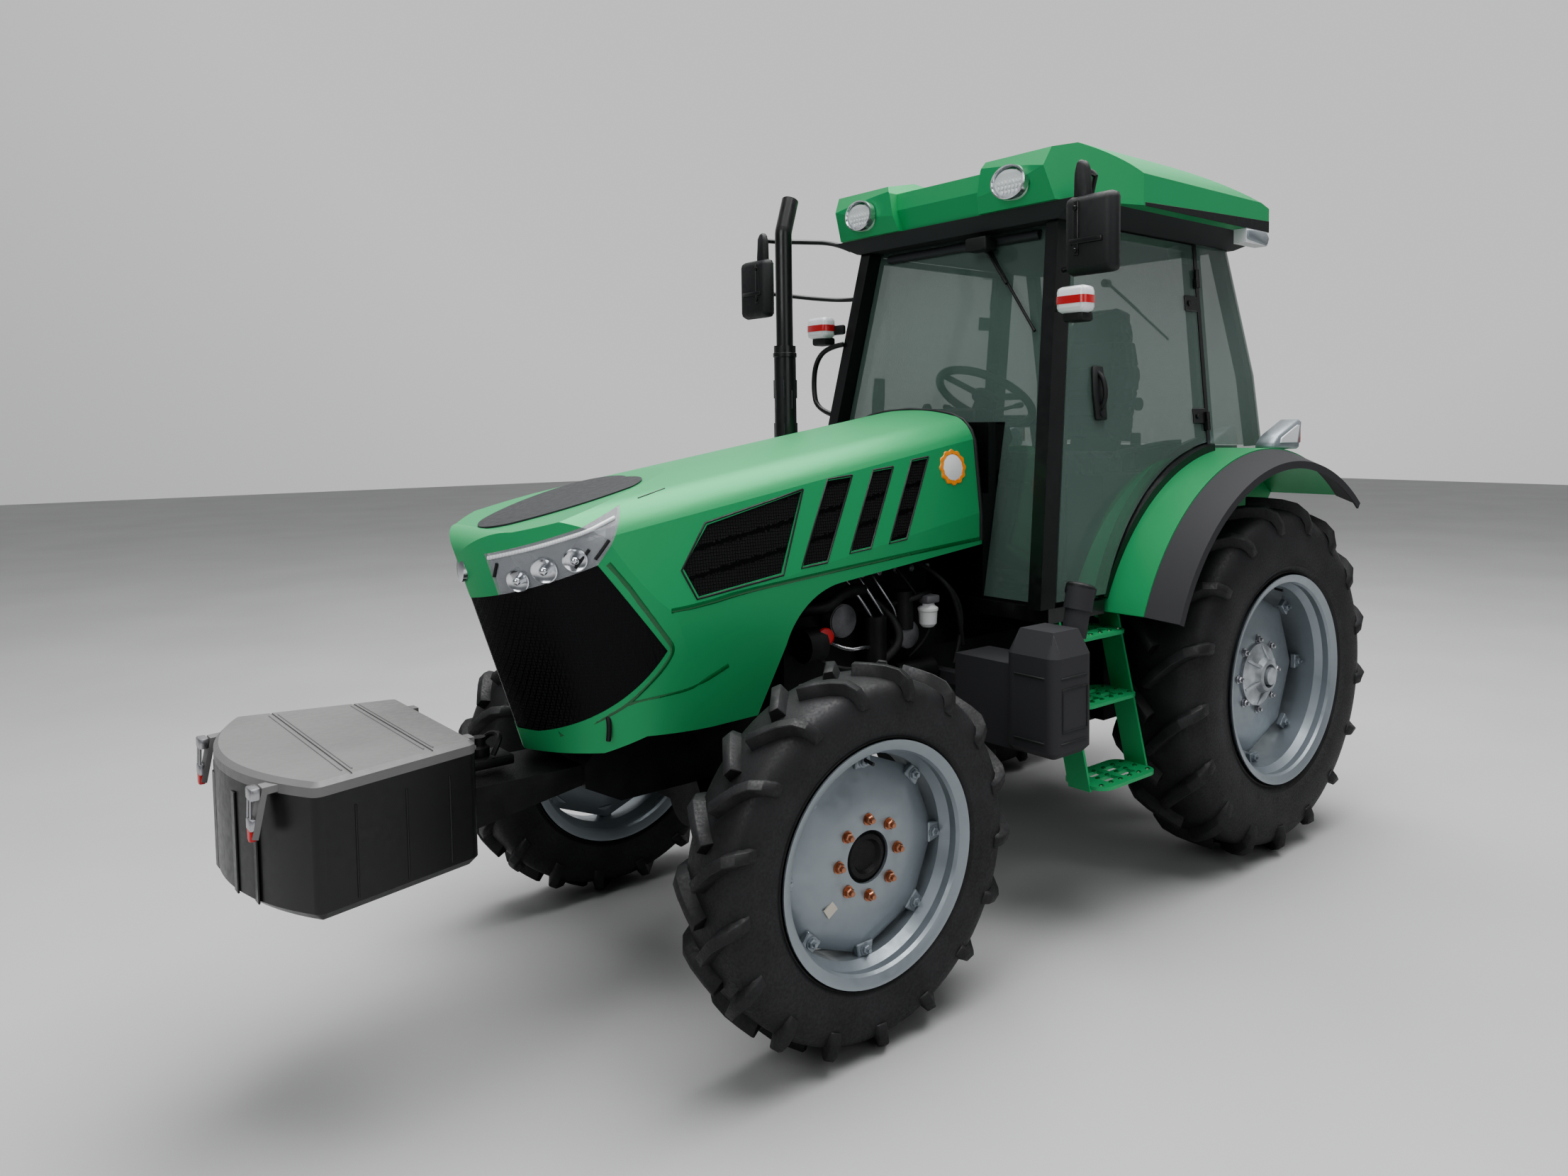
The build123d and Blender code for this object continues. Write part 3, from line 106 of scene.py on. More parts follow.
class Finish:
    """A node material in the making: patterns laid through an object steer its surface shader."""

    def __init__(self, name, inputs):
        self.material = FINISHES[name] = bpy.data.materials.new(name)
        self.material.use_nodes = True
        self.nodes, self.links = self.material.node_tree.nodes, self.material.node_tree.links
        self.shader = self.nodes["Principled BSDF"]
        self.place = self.nodes.new("ShaderNodeTexCoord").outputs["Object"]
        for socket, value in inputs.items():
            self.shader.inputs[socket].default_value = value

    def pattern(self, kind, scale, place=None):
        """A pattern node laid through the whole object."""
        node = self.nodes.new(f"ShaderNodeTex{kind}")
        node.inputs["Scale"].default_value = scale
        self.links.new(place or self.place, node.inputs["Vector"])
        return node

    def noise(self, scale, detail=4.0, stretch=None):
        """The value of a noise pattern, drawn out along the object's axes if asked."""
        place = self.place
        if stretch:
            mapping = self.nodes.new("ShaderNodeMapping")
            mapping.inputs["Scale"].default_value = stretch
            self.links.new(place, mapping.inputs["Vector"])
            place = mapping.outputs["Vector"]
        node = self.pattern("Noise", scale, place)
        node.inputs["Detail"].default_value = detail
        return node.outputs["Fac"]

    def spread(self, source, low, high, into, start=0.3, end=0.7):
        """Turns a pattern into a range of colours or values for one of the shader's inputs."""
        ramp = self.nodes.new("ShaderNodeValToRGB")
        for stop, position, value in zip(ramp.color_ramp.elements, (start, end), (low, high)):
            stop.position = position
            stop.color = (*(value if isinstance(value, tuple) else (value, value, value)), 1)
        self.links.new(source, ramp.inputs["Fac"])
        self.links.new(ramp.outputs["Color"], self.shader.inputs[into])
        return ramp.outputs["Color"]

    def dent(self, height, strength, distance):
        """Raises the surface by a pattern."""
        bump = self.nodes.new("ShaderNodeBump")
        bump.inputs["Strength"].default_value = strength
        bump.inputs["Distance"].default_value = distance
        self.links.new(height, bump.inputs["Height"])
        self.links.new(bump.outputs["Normal"], self.shader.inputs["Normal"])


def toned(colour, share):
    """A colour made darker or lighter."""
    return tuple(c * share for c in colour)


def enamel(name, colour, rough=0.28, coat=0.6, metal=0.0, flakes=0.0, shade=0.75):
    """Sprayed paint: an uneven colour under a clear coat, with a faint orange peel."""
    made = Finish(name, {"Metallic": metal, "Coat Weight": coat, "Coat Roughness": 0.08})
    made.spread(made.noise(2.2), toned(colour, shade), colour, "Base Color")
    made.spread(made.noise(35, 6), rough * 0.8, rough * 1.3, "Roughness")
    made.dent(made.noise(220 if flakes == 0 else 900, 2), 0.03 + flakes, 0.0006)


def moulded(name, colour, rough=0.55, grain=700, depth=0.25):
    """Moulded plastic with a leathered grain."""
    made = Finish(name, {})
    made.spread(made.noise(3.0), toned(colour, 0.8), colour, "Base Color")
    made.dent(made.pattern("Voronoi", grain).outputs["Distance"], depth, 0.0005)
    made.spread(made.noise(60, 5), rough * 0.85, rough * 1.15, "Roughness")


def rubbed_rubber(name, colour):
    """Tyre rubber: dull black with dust that greys it in patches."""
    made = Finish(name, {})
    made.spread(made.noise(9, 8), colour, toned(colour, 2.3), "Base Color", 0.38, 0.78)
    fine = made.noise(140, 4)
    made.spread(fine, 0.48, 0.72, "Roughness")
    made.dent(fine, 0.25, 0.0015)


def cast_skin(name, colour, metal=0.3):
    """Painted sand casting: a coarse skin with oil-dark and lighter patches, laid at random."""
    made = Finish(name, {"Metallic": metal})
    made.spread(made.noise(12, 8), toned(colour, 0.55), toned(colour, 1.7), "Base Color")
    sand = made.noise(260, 5)
    made.dent(sand, 0.45, 0.0012)
    made.spread(sand, 0.42, 0.65, "Roughness")


def machined(name, colour, rough=0.28):
    """Bare or plated metal with fine tool marks."""
    made = Finish(name, {"Metallic": 1.0})
    marks = made.noise(40, 3, (1, 60, 1))
    made.spread(marks, toned(colour, 0.8), colour, "Base Color")
    made.spread(marks, rough * 0.7, rough * 1.4, "Roughness")
    made.dent(marks, 0.06, 0.0004)


def tinted_glass(name, colour, see_through):
    """A green-tinted pane with faint rain marks."""
    made = Finish(name, {"Alpha": see_through, "IOR": 1.5, "Coat Weight": 1.0, "Coat Roughness": 0.02})
    film = made.noise(1.6, 6)
    made.spread(film, toned(colour, 0.8), colour, "Base Color")
    made.spread(film, 0.03, 0.09, "Roughness")
    made.material.surface_render_method = "BLENDED"


def lens(name, colour, see_through=1.0, ribs=90, rough=0.05):
    """A lamp cover with moulded ribs."""
    made = Finish(name, {"Alpha": see_through, "Coat Weight": 1.0, "Coat Roughness": 0.03})
    bands = made.pattern("Wave", ribs).outputs["Fac"]
    made.dent(bands, 0.2, 0.001)
    made.spread(bands, toned(colour, 0.9), colour, "Base Color")
    made.spread(bands, rough, rough * 2, "Roughness")


def wire_mesh(name, colour, hole_shade_colour, cell):
    """Punched sheet: six-sided holes in rows, filled with painted shade, with the metal standing between
    them.
    """
    made = Finish(name, {})
    cells = made.pattern("Voronoi", 1 / cell)
    cells.feature = "DISTANCE_TO_EDGE"
    cells.inputs["Randomness"].default_value = 0.12
    wall = (0.08, 0.16)
    # painted shade fills the holes
    made.spread(cells.outputs["Distance"], colour, hole_shade_colour, "Base Color", *wall)
    made.spread(cells.outputs["Distance"], 0.35, 0.9, "Roughness", *wall)
    standing = made.spread(cells.outputs["Distance"], 1.0, 0.0, "Metallic", *wall)
    made.dent(standing, 0.4, 0.002)


def woven(name, colour, thread=150):
    """Seat cloth: crossed threads with a soft sheen."""
    made = Finish(name, {"Sheen Weight": 0.35})
    both = made.nodes.new("ShaderNodeMath")
    both.operation = "MAXIMUM"
    for number, direction in enumerate("XY"):
        threads = made.pattern("Wave", thread)
        threads.bands_direction = direction
        threads.inputs["Distortion"].default_value = 0.6
        made.links.new(threads.outputs["Fac"], both.inputs[number])
    made.spread(both.outputs[0], toned(colour, 0.55), colour, "Base Color")
    made.dent(both.outputs[0], 0.5, 0.0008)
    made.spread(made.noise(14, 5), 0.75, 0.95, "Roughness")


enamel("green_paint", GREEN)
enamel("black_enamel", BLACK, rough=0.35, coat=0.35)
enamel("wheel_silver", SILVER, rough=0.38, coat=0.2, metal=0.55, flakes=0.04, shade=0.82)
rubbed_rubber("tyre_rubber", RUBBER)
moulded("black_plastic", PLASTIC)
moulded("pad_plastic", PAD_GREY, rough=0.5, grain=420, depth=0.35)
moulded("box_plastic", BOX_BLACK, rough=0.33, grain=900, depth=0.12)
moulded("lid_plastic", LID_GREY, rough=0.42, depth=0.15)
moulded("red_plastic", RED, rough=0.35, depth=0.1)
moulded("orange_ring", ORANGE, rough=0.35, depth=0.05)
moulded("white_plastic", WHITE, rough=0.35, depth=0.05)
moulded("cream_plastic", CREAM, rough=0.45, depth=0.05)
moulded("hose_rubber", BOX_BLACK, rough=0.6, grain=500, depth=0.3)
cast_skin("casting", DARK_IRON)
cast_skin("light_casting", GREY_IRON, metal=0.6)
cast_skin("bright_casting", BRIGHT_IRON, metal=0.7)
machined("bright_steel", STEEL)
machined("chrome", CHROME, rough=0.16)
machined("copper_bolt", COPPER, rough=0.35)
tinted_glass("cab_glass", GLASS_TINT, 0.42)
lens("clear_lens", LENS_CLEAR, 0.30)
lens("white_lens", LAMP_WHITE, ribs=60, rough=0.2)
lens("red_lens", RED, ribs=120, rough=0.12)
wire_mesh("grille_mesh", MESH_METAL, MESH_HOLE_SHADE, 0.009)
woven("seat_cloth", CLOTH)

# each finish with its nodes; all the others are black_plastic
# the CAD nodes' own finishes
NODE_FINISHES = {
    "green_paint": ["hood_shell", "fender_left", "fender_right", "steps_left", "steps_right", "roof_shell"],
    "black_enamel": ["cab_posts", "door_frame_left", "door_frame_right", "cab_panels", "exhaust_stack",
                     "seat_base", "cab_floor"],
    "wheel_silver": ["wheel_front_left", "wheel_front_right", "wheel_rear_left", "wheel_rear_right"],
    "tyre_rubber": ["tyre_front_left", "tyre_front_right", "tyre_rear_left", "tyre_rear_right"],
    "black_plastic": ["fuel_tank", "battery_box", "mirror_left", "mirror_right", "fender_flares",
                      "dash_console", "side_consoles", "steering_wheel", "roof_lining"],
    "pad_plastic": ["nose_pad"],
    "box_plastic": ["toolbox"],
    "lid_plastic": ["toolbox_lid"],
    "grille_mesh": ["hood_grilles"],
    "casting": ["engine_block", "engine_fittings", "gearbox_housing", "rear_axle_housing",
                "front_axle_beam", "front_bolster", "knuckle_left", "knuckle_right", "toolbox_bracket",
                "lift_arms", "lower_links", "top_link", "drawbar", "radiator"],
    "bright_steel": ["tie_rod", "lift_rods"],
    "cab_glass": ["cab_windows", "door_glass_left", "door_glass_right"],
    "clear_lens": ["headlamps"],
    "white_lens": ["work_lamps", "side_lamps"],
    "seat_cloth": ["seat_cushion", "seat_back"],
}
for finish, nodes in NODE_FINISHES.items():
    for node in nodes:
        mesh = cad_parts[node].data
        mesh.materials.clear()
        mesh.materials.append(bpy.data.materials[finish])


# ======== ways of making ========

def take(piece):
    """Makes a piece the only one in hand."""
    bpy.ops.object.select_all(action="DESELECT")
    piece.select_set(True)
    bpy.context.view_layer.objects.active = piece
    return piece


def settle(piece):
    """Puts a piece's place, turn and size into its mesh."""
    take(piece)
    bpy.ops.object.transform_apply(location=True, rotation=True, scale=True)
    return piece


def worked(piece, *steps):
    """Runs mesh operators, each with its settings, on the whole of a piece."""
    take(piece)
    bpy.ops.object.mode_set(mode="EDIT")
    bpy.ops.mesh.select_all(action="SELECT")
    for operator, settings in steps:
        operator(**settings)
    bpy.ops.object.mode_set(mode="OBJECT")
    return piece


def close_form(piece, merge=0.00001):
    """Merges what touches and turns the faces outwards."""
    return worked(settle(piece), (bpy.ops.mesh.remove_doubles, dict(threshold=merge)),
                  (bpy.ops.mesh.normals_make_consistent, dict(inside=False)))


def ease(piece, width, segments=2):
    """Rounds every edge of a piece."""
    return worked(piece, (bpy.ops.mesh.bevel, dict(offset=width, segments=segments, affect="EDGES")))


def block(low, high, eased=0.003):
    """A bar between two corners, with eased edges."""
    low, high = at(*low), at(*high)
    bpy.ops.mesh.primitive_cube_add(size=1, location=(low + high) / 2)
    piece = bpy.context.object
    piece.scale = [abs(b - a) for a, b in zip(low, high)]
    return ease(settle(piece), eased)


def flat(outline, origin, across, up, thick, eased=0.0):
    """A flat form: an outline in a plane, drawn out by its thickness."""
    bpy.ops.mesh.primitive_circle_add(vertices=len(outline), fill_type="NGON", location=ORIGIN)
    piece = bpy.context.object
    across, up = Vector(across).normalized(), Vector(up).normalized()
    for corner, (u, v) in zip(piece.data.vertices, outline):
        corner.co = origin + u * across + v * up
    drawn = {"value": thick * across.cross(up)}
    worked(piece, (bpy.ops.mesh.extrude_region_move, dict(TRANSFORM_OT_translate=drawn)))
    close_form(piece)
    return ease(piece, eased, 1) if eased else piece


def upright(outline, origin, thick, eased):
    """A flat form that stands along the tractor, its outline in (x, z)."""
    return flat(outline, origin, FORWARD, UP, thick, eased)


def facing(outline, origin, thick, eased):
    """A flat form that stands across the tractor, its outline in (y, z)."""
    return flat(outline, origin, LEFT, UP, thick, eased)


def turned(outline, centre, axis, steps=32):
    """Spins a closed outline of (out, along) points about an axis."""
    axis = Vector(axis).normalized()
    out = axis.orthogonal().normalized()
    bpy.ops.mesh.primitive_circle_add(vertices=len(outline), fill_type="NOTHING", location=ORIGIN)
    piece = bpy.context.object
    for corner, (r, a) in zip(piece.data.vertices, outline):
        corner.co = centre + r * out + a * axis
    spin = dict(steps=steps, angle=2 * pi, center=centre, axis=axis)
    return close_form(worked(piece, (bpy.ops.mesh.spin, spin)))


def ring_of(piece, count, centre=ORIGIN, axis=LEFT):
    """Copies a piece evenly around an axis."""
    angle = 2 * pi * (count - 1) / count
    spin = dict(steps=count - 1, angle=angle, center=centre, axis=axis, dupli=True)
    return worked(piece, (bpy.ops.mesh.spin, spin))


def hose(points, radius, curved=True, sides=2):
    """A hose, pipe or bar along its route, with closed ends."""
    bpy.ops.curve.primitive_nurbs_path_add(location=ORIGIN)
    piece = bpy.context.object
    piece.data.splines.clear()
    route = piece.data.splines.new("NURBS" if curved else "POLY")
    route.points.add(len(points) - 1)
    for knot, point in zip(route.points, points):
        knot.co = (*point, 1)
    if curved:
        route.order_u = 3
        route.use_endpoint_u = True
        route.resolution_u = 6
    piece.data.bevel_depth = radius
    piece.data.bevel_resolution = sides
    piece.data.use_fill_caps = True
    bpy.ops.object.convert(target="MESH")
    return close_form(bpy.context.object)


def pipe(points, radius, curved=True, sides=2):
    """A hose whose route is measured forward from the rear axle."""
    return hose([at(*point) for point in points], radius, curved, sides)


def other_side(piece):
    """A copy mirrored to the tractor's other side."""
    take(piece)
    bpy.ops.object.duplicate()
    twin = bpy.context.object
    twin.scale.y = -1
    return worked(settle(twin), (bpy.ops.mesh.flip_normals, {}))


def moved(piece, way):
    """Shifts a piece, with the shift kept in its mesh."""
    piece.location = way
    return settle(piece)


def joined(*pieces):
    """Joins pieces into the first."""
    bpy.ops.object.select_all(action="DESELECT")
    for piece in pieces:
        piece.select_set(True)
    bpy.context.view_layer.objects.active = pieces[0]
    bpy.ops.object.join()
    return bpy.context.object


def done(piece, name, finish, angle=35, body="chassis", stands_for=()):
    """Names a finished piece, gives it its surface and says what it moves with."""
    take(piece)
    piece.name = piece.data.name = name
    piece.data.materials.clear()
    piece.data.materials.append(FINISHES[finish])
    bpy.ops.object.shade_smooth_by_angle(angle=radians(angle))
    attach(piece, body)
    if stands_for:
        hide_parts(*stands_for)
    return piece


def on_both(left, name, finish, angle=35, body="chassis", stands_for=None):
    """Finishes a left piece and its mirrored right twin."""
    for piece, side in ((left, "left"), (other_side(left), "right")):
        nodes = [f"{stands_for}_{side}"] if stands_for else ()
        done(piece, f"{name}_{side}", finish, angle, body.replace("SIDE", side), stands_for=nodes)


def touch(node, start, way):
    """Where a line from outside meets a CAD piece."""
    hit, place, normal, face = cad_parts[node].ray_cast(Vector(start), Vector(way).normalized())
    return (place, normal) if hit else (Vector(start), -Vector(way).normalized())


def on_side(node, points, side=1, proud=0.0):
    """Points of (x, z) laid on the side of a CAD piece, where it has one."""
    laid = []
    for x, z in points:
        hit, place, normal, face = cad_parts[node].ray_cast(at(x, side * 1.5, z), Vector((0, -side, 0)))
        if hit and abs(normal.y) > 0.3:
            laid.append(place + normal * proud)
    return laid


def fill_in(points, step=0.05):
    """More points of (x, z) along straight stretches, so that a bead keeps to the surface."""
    row = [points[0]]
    for (x0, z0), (x1, z1) in zip(points, points[1:]):
        count = max(1, round(sqrt((x1 - x0) ** 2 + (z1 - z0) ** 2) / step))
        row += [(x0 + (x1 - x0) * i / count, z0 + (z1 - z0) * i / count) for i in range(1, count + 1)]
    return row


def squeeze(piece, centre, sizes):
    """Scales a piece's mesh about a place, by a share along each axis."""
    for corner in piece.data.vertices:
        corner.co = centre + Vector([c * s for c, s in zip(corner.co - centre, sizes)])
    return piece


# ======== tyres ========

# over the lugs, tread between them, half width, rim flange, lug width
TYRES = {
    "front": dict(along=2.050, across=0.720, tip=0.525, tread=0.492, half=0.1225, flange=0.330, lug=0.036),
    "rear": dict(along=0.0, across=0.710, tip=0.700, tread=0.662, half=0.189, flange=0.406, lug=0.044),
}
LUGS = 17
# half of the carcass's section, from the rim up: share of the wall's height, share of the half width
WALL = ((-0.06, 0.78), (0.0, 0.84), (0.03, 0.88), (0.05, 0.86), (0.10, 0.91), (0.13, 0.935), (0.15, 0.93),
        (0.30, 0.965), (0.48, 0.975), (0.64, 0.96), (0.77, 0.915), (0.87, 0.84), (0.94, 0.73), (0.98, 0.52),
        (0.995, 0.28), (1.0, 0.0))
# stations along a lug: share of the half width, of the wall's height and of the slant, lean of its face in
# degrees, height and width as shares of the lug's
LUG_STATIONS = (
    (-0.05, 1.00, 0.00, 0, 1.00, 0.95), (0.20, 0.997, 0.27, 3, 1.00, 0.95), (0.45, 0.985, 0.54, 9, 1.02, 1.0),
    (0.66, 0.955, 0.75, 22, 1.02, 1.08), (0.82, 0.885, 0.88, 42, 0.85, 1.18),
    (0.92, 0.78, 0.96, 66, 0.48, 1.3), (0.965, 0.64, 1.0, 84, 0.14, 1.35),
)


def lug_mesh(tyre):
    """One raised bar, from the middle of the tread over the shoulder and down the wall."""
    stations = len(LUG_STATIONS)
    bpy.ops.mesh.primitive_grid_add(x_subdivisions=stations - 1, y_subdivisions=1, size=2, location=ORIGIN)
    lug = bpy.context.object
    worked(lug, (bpy.ops.mesh.extrude_region_move, dict(TRANSFORM_OT_translate={"value": UP})))
    wall, rise = tyre["tread"] - tyre["flange"], tyre["tip"] - tyre["tread"]
    for corner in lug.data.vertices:
        station = round((corner.co.x + 1) / 2 * (stations - 1))
        out, up, along, lean, tall, wide = LUG_STATIONS[station]
        top = corner.co.z > 0.5
        reach = tyre["flange"] + up * wall
        slant = 0.9 * tyre["half"] * along
        edge = (1 if corner.co.y > 0 else -1) * tyre["lug"] * wide * (0.38 if top else 0.66)
        turn = (edge * 0.8 - slant) / tyre["tread"]
        sideways = out * tyre["half"] + edge * 0.55 * (1 - lean / 90)
        height = rise * tall if top else -0.006
        reach += height * cos(radians(lean))
        sideways += height * sin(radians(lean))
        corner.co = (reach * sin(turn), sideways, reach * cos(turn))
    close_form(lug)
    return ease(lug, 0.0022, 1)


def make_tyre(tyre):
    """A cross-ply drive tyre about its own centre, with the outer wall at +Y."""
    wall = tyre["tread"] - tyre["flange"]
    half = [(tyre["flange"] + up * wall, out * tyre["half"]) for up, out in WALL]
    section = half + [(r, -a) for r, a in reversed(half[:-1])]
    carcass = turned(section, ORIGIN, LEFT, 102)
    lugs = ring_of(lug_mesh(tyre), LUGS)
    turn = dict(value=pi / LUGS, orient_axis="Y", center_override=ORIGIN)
    inner = worked(other_side(lugs), (bpy.ops.transform.rotate, turn))
    return joined(carcass, lugs, inner)


def on_wheels(left, axle, name, finish, angle, replaced=None):
    """Sets a left wheel's piece and its mirrored twin on an axle."""
    tyre = TYRES[axle]
    for piece, (side_name, side) in zip((left, other_side(left)), SIDES):
        moved(piece, at(tyre["along"], side * tyre["across"], tyre["tip"]))
        label = f"{axle}_{side_name}"
        nodes = [f"{replaced}_{label}"] if replaced else ()
        done(piece, name.format(label), finish, angle, f"wheel_{label}", stands_for=nodes)


for axle, tyre in TYRES.items():
    on_wheels(make_tyre(tyre), axle, "lugged_tyre_{}", "tyre_rubber", 40, "tyre")


# ======== wheels ========

WHEEL_FORMS = {
    "front": dict(lip=0.330, half=0.115, bead=0.305, hole=0.072, bolts=0.105, face=0.050, edge=0.012,
                  lobe=1.0),
    "rear": dict(lip=0.406, half=0.180, bead=0.381, hole=0.095, bolts=0.140, face=0.046, edge=0.016,
                 lobe=0.90),
}
CLAMPS = 8
NUTS = 8


def make_rim(form):
    """A rolled rim: lips, bead seats and a stepped well."""
    lip, half, bead = form["lip"], form["half"], form["bead"]
    outer = [(lip, half), (lip, half - 0.006), (bead + 0.004, half - 0.012), (bead, half - 0.045),
             (bead - 0.018, half - 0.070)]
    inner = [(bead - 0.026, half - 0.074), (bead - 0.008, half - 0.047), (bead - 0.010, half - 0.022),
             (bead - 0.004, half - 0.012), (lip - 0.010, half - 0.002)]
    section = outer + [(r, -a) for r, a in reversed(outer)]
    section += [(r, -a) for r, a in reversed(inner)] + inner
    return turned(section, ORIGIN, LEFT, 96)


def make_disc(form):
    """The wheel's domed disc, which meets the rim at eight corners."""
    hole, reach, face, edge = form["hole"], form["bead"] - 0.024, form["face"], form["edge"]
    sweep = [(hole, face), (hole + 0.05, face + 0.002), (hole + 0.09, face - 0.004),
             (reach * 0.75, face - 0.014), (reach * 0.9, (face + edge) / 2 - 0.004), (reach, edge)]
    section = sweep + [(r, a - 0.010) for r, a in reversed(sweep)]
    disc = turned(section, ORIGIN, LEFT, 96)
    for corner in disc.data.vertices:
        out = sqrt(corner.co.x ** 2 + corner.co.z ** 2)
        if out > hole + 0.06:
            turn = (atan2(corner.co.x, corner.co.z) + pi / CLAMPS) % (2 * pi / CLAMPS) - pi / CLAMPS
            chord = min(1, cos(pi / CLAMPS) * form["lobe"] / cos(pi / CLAMPS - abs(turn)))
            share = (out - hole - 0.06) / (reach - hole - 0.06)
            shrink = 1 - (1 - chord) * share
            corner.co.x *= shrink
            corner.co.z *= shrink
    return disc


def hex_bolt(place, axis, across, tall):
    """A hexagon head with a chamfered top on its washer."""
    head = [(0, 0), (across, 0), (across, tall * 0.8), (across * 0.8, tall), (0, tall)]
    washer = [(0, -0.001), (across * 1.25, -0.001), (across * 1.25, 0.003), (0, 0.003)]
    return joined(turned(head, place, axis, 6), turned(washer, place, axis, 16))


def make_clamps(form):
    """Brackets that hold the disc to the rim, each with its bolt."""
    reach, edge = form["bead"] - 0.024, form["edge"]
    foot = flat(
        [(-0.030, -0.010), (0.030, -0.010), (0.022, 0.034), (-0.022, 0.034)],
        Vector((0, edge + 0.002, reach - 0.028)), FORWARD, UP, -0.022, 0.003,
    )
    bolt = hex_bolt(Vector((0, edge + 0.024, reach - 0.020)), LEFT, 0.014, 0.012)
    stub = hose([(0, edge + 0.015, reach - 0.020), (0, edge + 0.045, reach - 0.020)], 0.006, False)
    return ring_of(joined(foot, bolt, stub), CLAMPS)


def make_nuts(form, across=0.0135):
    """The wheel nuts, with their studs' ends."""
    place = Vector((0, form["face"] + 0.002, form["bolts"]))
    nut = hex_bolt(place, LEFT, across, 0.016)
    stud = turned([(0, 0.010), (across * 0.55, 0.010), (across * 0.55, 0.024), (0, 0.026)], place, LEFT, 10)
    return ring_of(joined(nut, stud), NUTS)


def make_hub(form, axle):
    """What closes the middle: a drive hub in front, and a keyed shaft in a split cast hub behind."""
    hole, face = form["hole"], form["face"]
    if axle == "front":
        section = [(0, face - 0.045), (hole + 0.012, face - 0.045), (hole + 0.012, face - 0.012),
                   (hole - 0.004, face - 0.012), (hole - 0.012, face - 0.004), (0.048, face - 0.002),
                   (0.040, face - 0.014), (0.018, face - 0.016), (0, face - 0.016)]
        return turned(section, ORIGIN, LEFT, 32)
    outer = hole + 0.028
    section = [(0, -0.05), (outer, -0.05), (outer, 0.012), (hole + 0.004, 0.022), (0.072, 0.034),
               (0.060, 0.055), (0.046, 0.058), (0.044, 0.030), (0.036, 0.030), (0.034, 0.066), (0, 0.068)]
    hub = turned([(r, face + a) for r, a in section], ORIGIN, LEFT, 40)
    rib = flat([(0.050, 0), (hole + 0.024, 0), (hole + 0.020, 0.010), (0.058, 0.042)],
               Vector((-0.006, face + 0.010, 0)), UP, LEFT, 0.012, 0.002)
    return joined(hub, ring_of(rib, 6))


for axle, form in WHEEL_FORMS.items():
    wheel = joined(make_rim(form), make_disc(form), make_clamps(form))
    half, bead = form["half"], form["bead"]
    valve = hose([(0.02, half - 0.05, bead - 0.03), (0.02, half - 0.015, bead - 0.035)], 0.005, False)
    nuts, hub = make_nuts(form), make_hub(form, axle)
    on_wheels(wheel, axle, "wheel_{}_parts", "wheel_silver", 30, "wheel")
    on_wheels(nuts, axle, "wheel_nuts_{}_parts", "bright_steel" if axle == "rear" else "copper_bolt", 30)
    on_wheels(hub, axle, "hub_{}_parts", "bright_casting" if axle == "rear" else "casting", 30)
    on_wheels(valve, axle, "tyre_valve_{}_parts", "black_plastic", 30)


# ======== hood ========

# beads along the hood's side, and a black line of painted shade in its shoulder groove: radius, finish, route
# of (x, z)
PATH_SIDE = {
    # the shoulder groove: a thin black tube on the surface, painted shade in place of the recess
    "shoulder_groove": (0.0022, "black_enamel", [
        (2.44, 1.497), (2.30, 1.530), (2.0, 1.590), (1.6, 1.668), (1.20, 1.722)]),
    "flank_bead": (0.028, "green_paint", [
        (2.40, 1.186), (2.10, 1.222), (1.80, 1.248), (1.48, 1.274), (1.170, 1.297)]),
    "chin_bead": (0.026, "green_paint", [(2.55, 0.926), (2.45, 0.946), (2.34, 0.962), (2.216, 1.010)]),
    "grille_bead": (0.028, "green_paint", [
        (2.566, 1.330), (2.520, 1.272), (2.466, 1.195), (2.386, 1.080), (2.42, 1.028), (2.50, 0.940),
        (2.58, 0.880), (2.630, 0.848)]),
}


for name, (radius, finish, points) in PATH_SIDE.items():
    sunk = -0.9 * radius if finish == "green_paint" else 0
    for side_name, side in SIDES:
        bead = hose(on_side("hood_shell", fill_in(points), side, sunk), radius)
        done(bead, f"hood_{name}_{side_name}", finish, 60, "hood")

# the seal at the hood's rear edge
for side_name, side in SIDES:
    edge = on_side("hood_shell", [(1.166, 1.292 + 0.043 * i) for i in range(9)], side, 0.001)
    for y in (0.315, 0.28, 0.22, 0.14, 0.0):
        edge.append(touch("hood_shell", at(1.166, side * y, 2.5), DOWN)[0] + Vector((0, 0, 0.001)))
    done(hose(edge, 0.007, False), f"hood_rear_seal_{side_name}", "black_plastic", 50, "hood")

# frames round the intakes
INTAKES = [
    [(rear, high), (rear + wide, high - 0.009), (rear + wide + lean, low - 0.005), (rear + lean, low + 0.004)]
    for rear, wide, high, low, lean in (
        (1.730, 0.098, 1.531, 1.276, 0.115), (1.556, 0.086, 1.553, 1.305, 0.112),
        (1.397, 0.076, 1.581, 1.323, 0.116))
]
INTAKES.append([(1.925, 1.495), (2.263, 1.415), (2.350, 1.301), (2.308, 1.218), (2.023, 1.257)])
for number, outline in enumerate(INTAKES, 1):
    mid_x, mid_z = (sum(row) / len(outline) for row in zip(*outline))
    outer = [(x + copysign(0.006, x - mid_x), z + copysign(0.006, z - mid_z)) for x, z in outline]
    for side_name, side in SIDES:
        loop = fill_in(outer + outer[:1], 0.06)
        sunk = Vector((0, side * 0.001, 0))
        ring = hose([place - sunk for place in on_side("hood_shell", loop, side)], 0.0035, False, 1)
        done(ring, f"intake_frame_{number}_{side_name}", "black_plastic", 60, "hood")

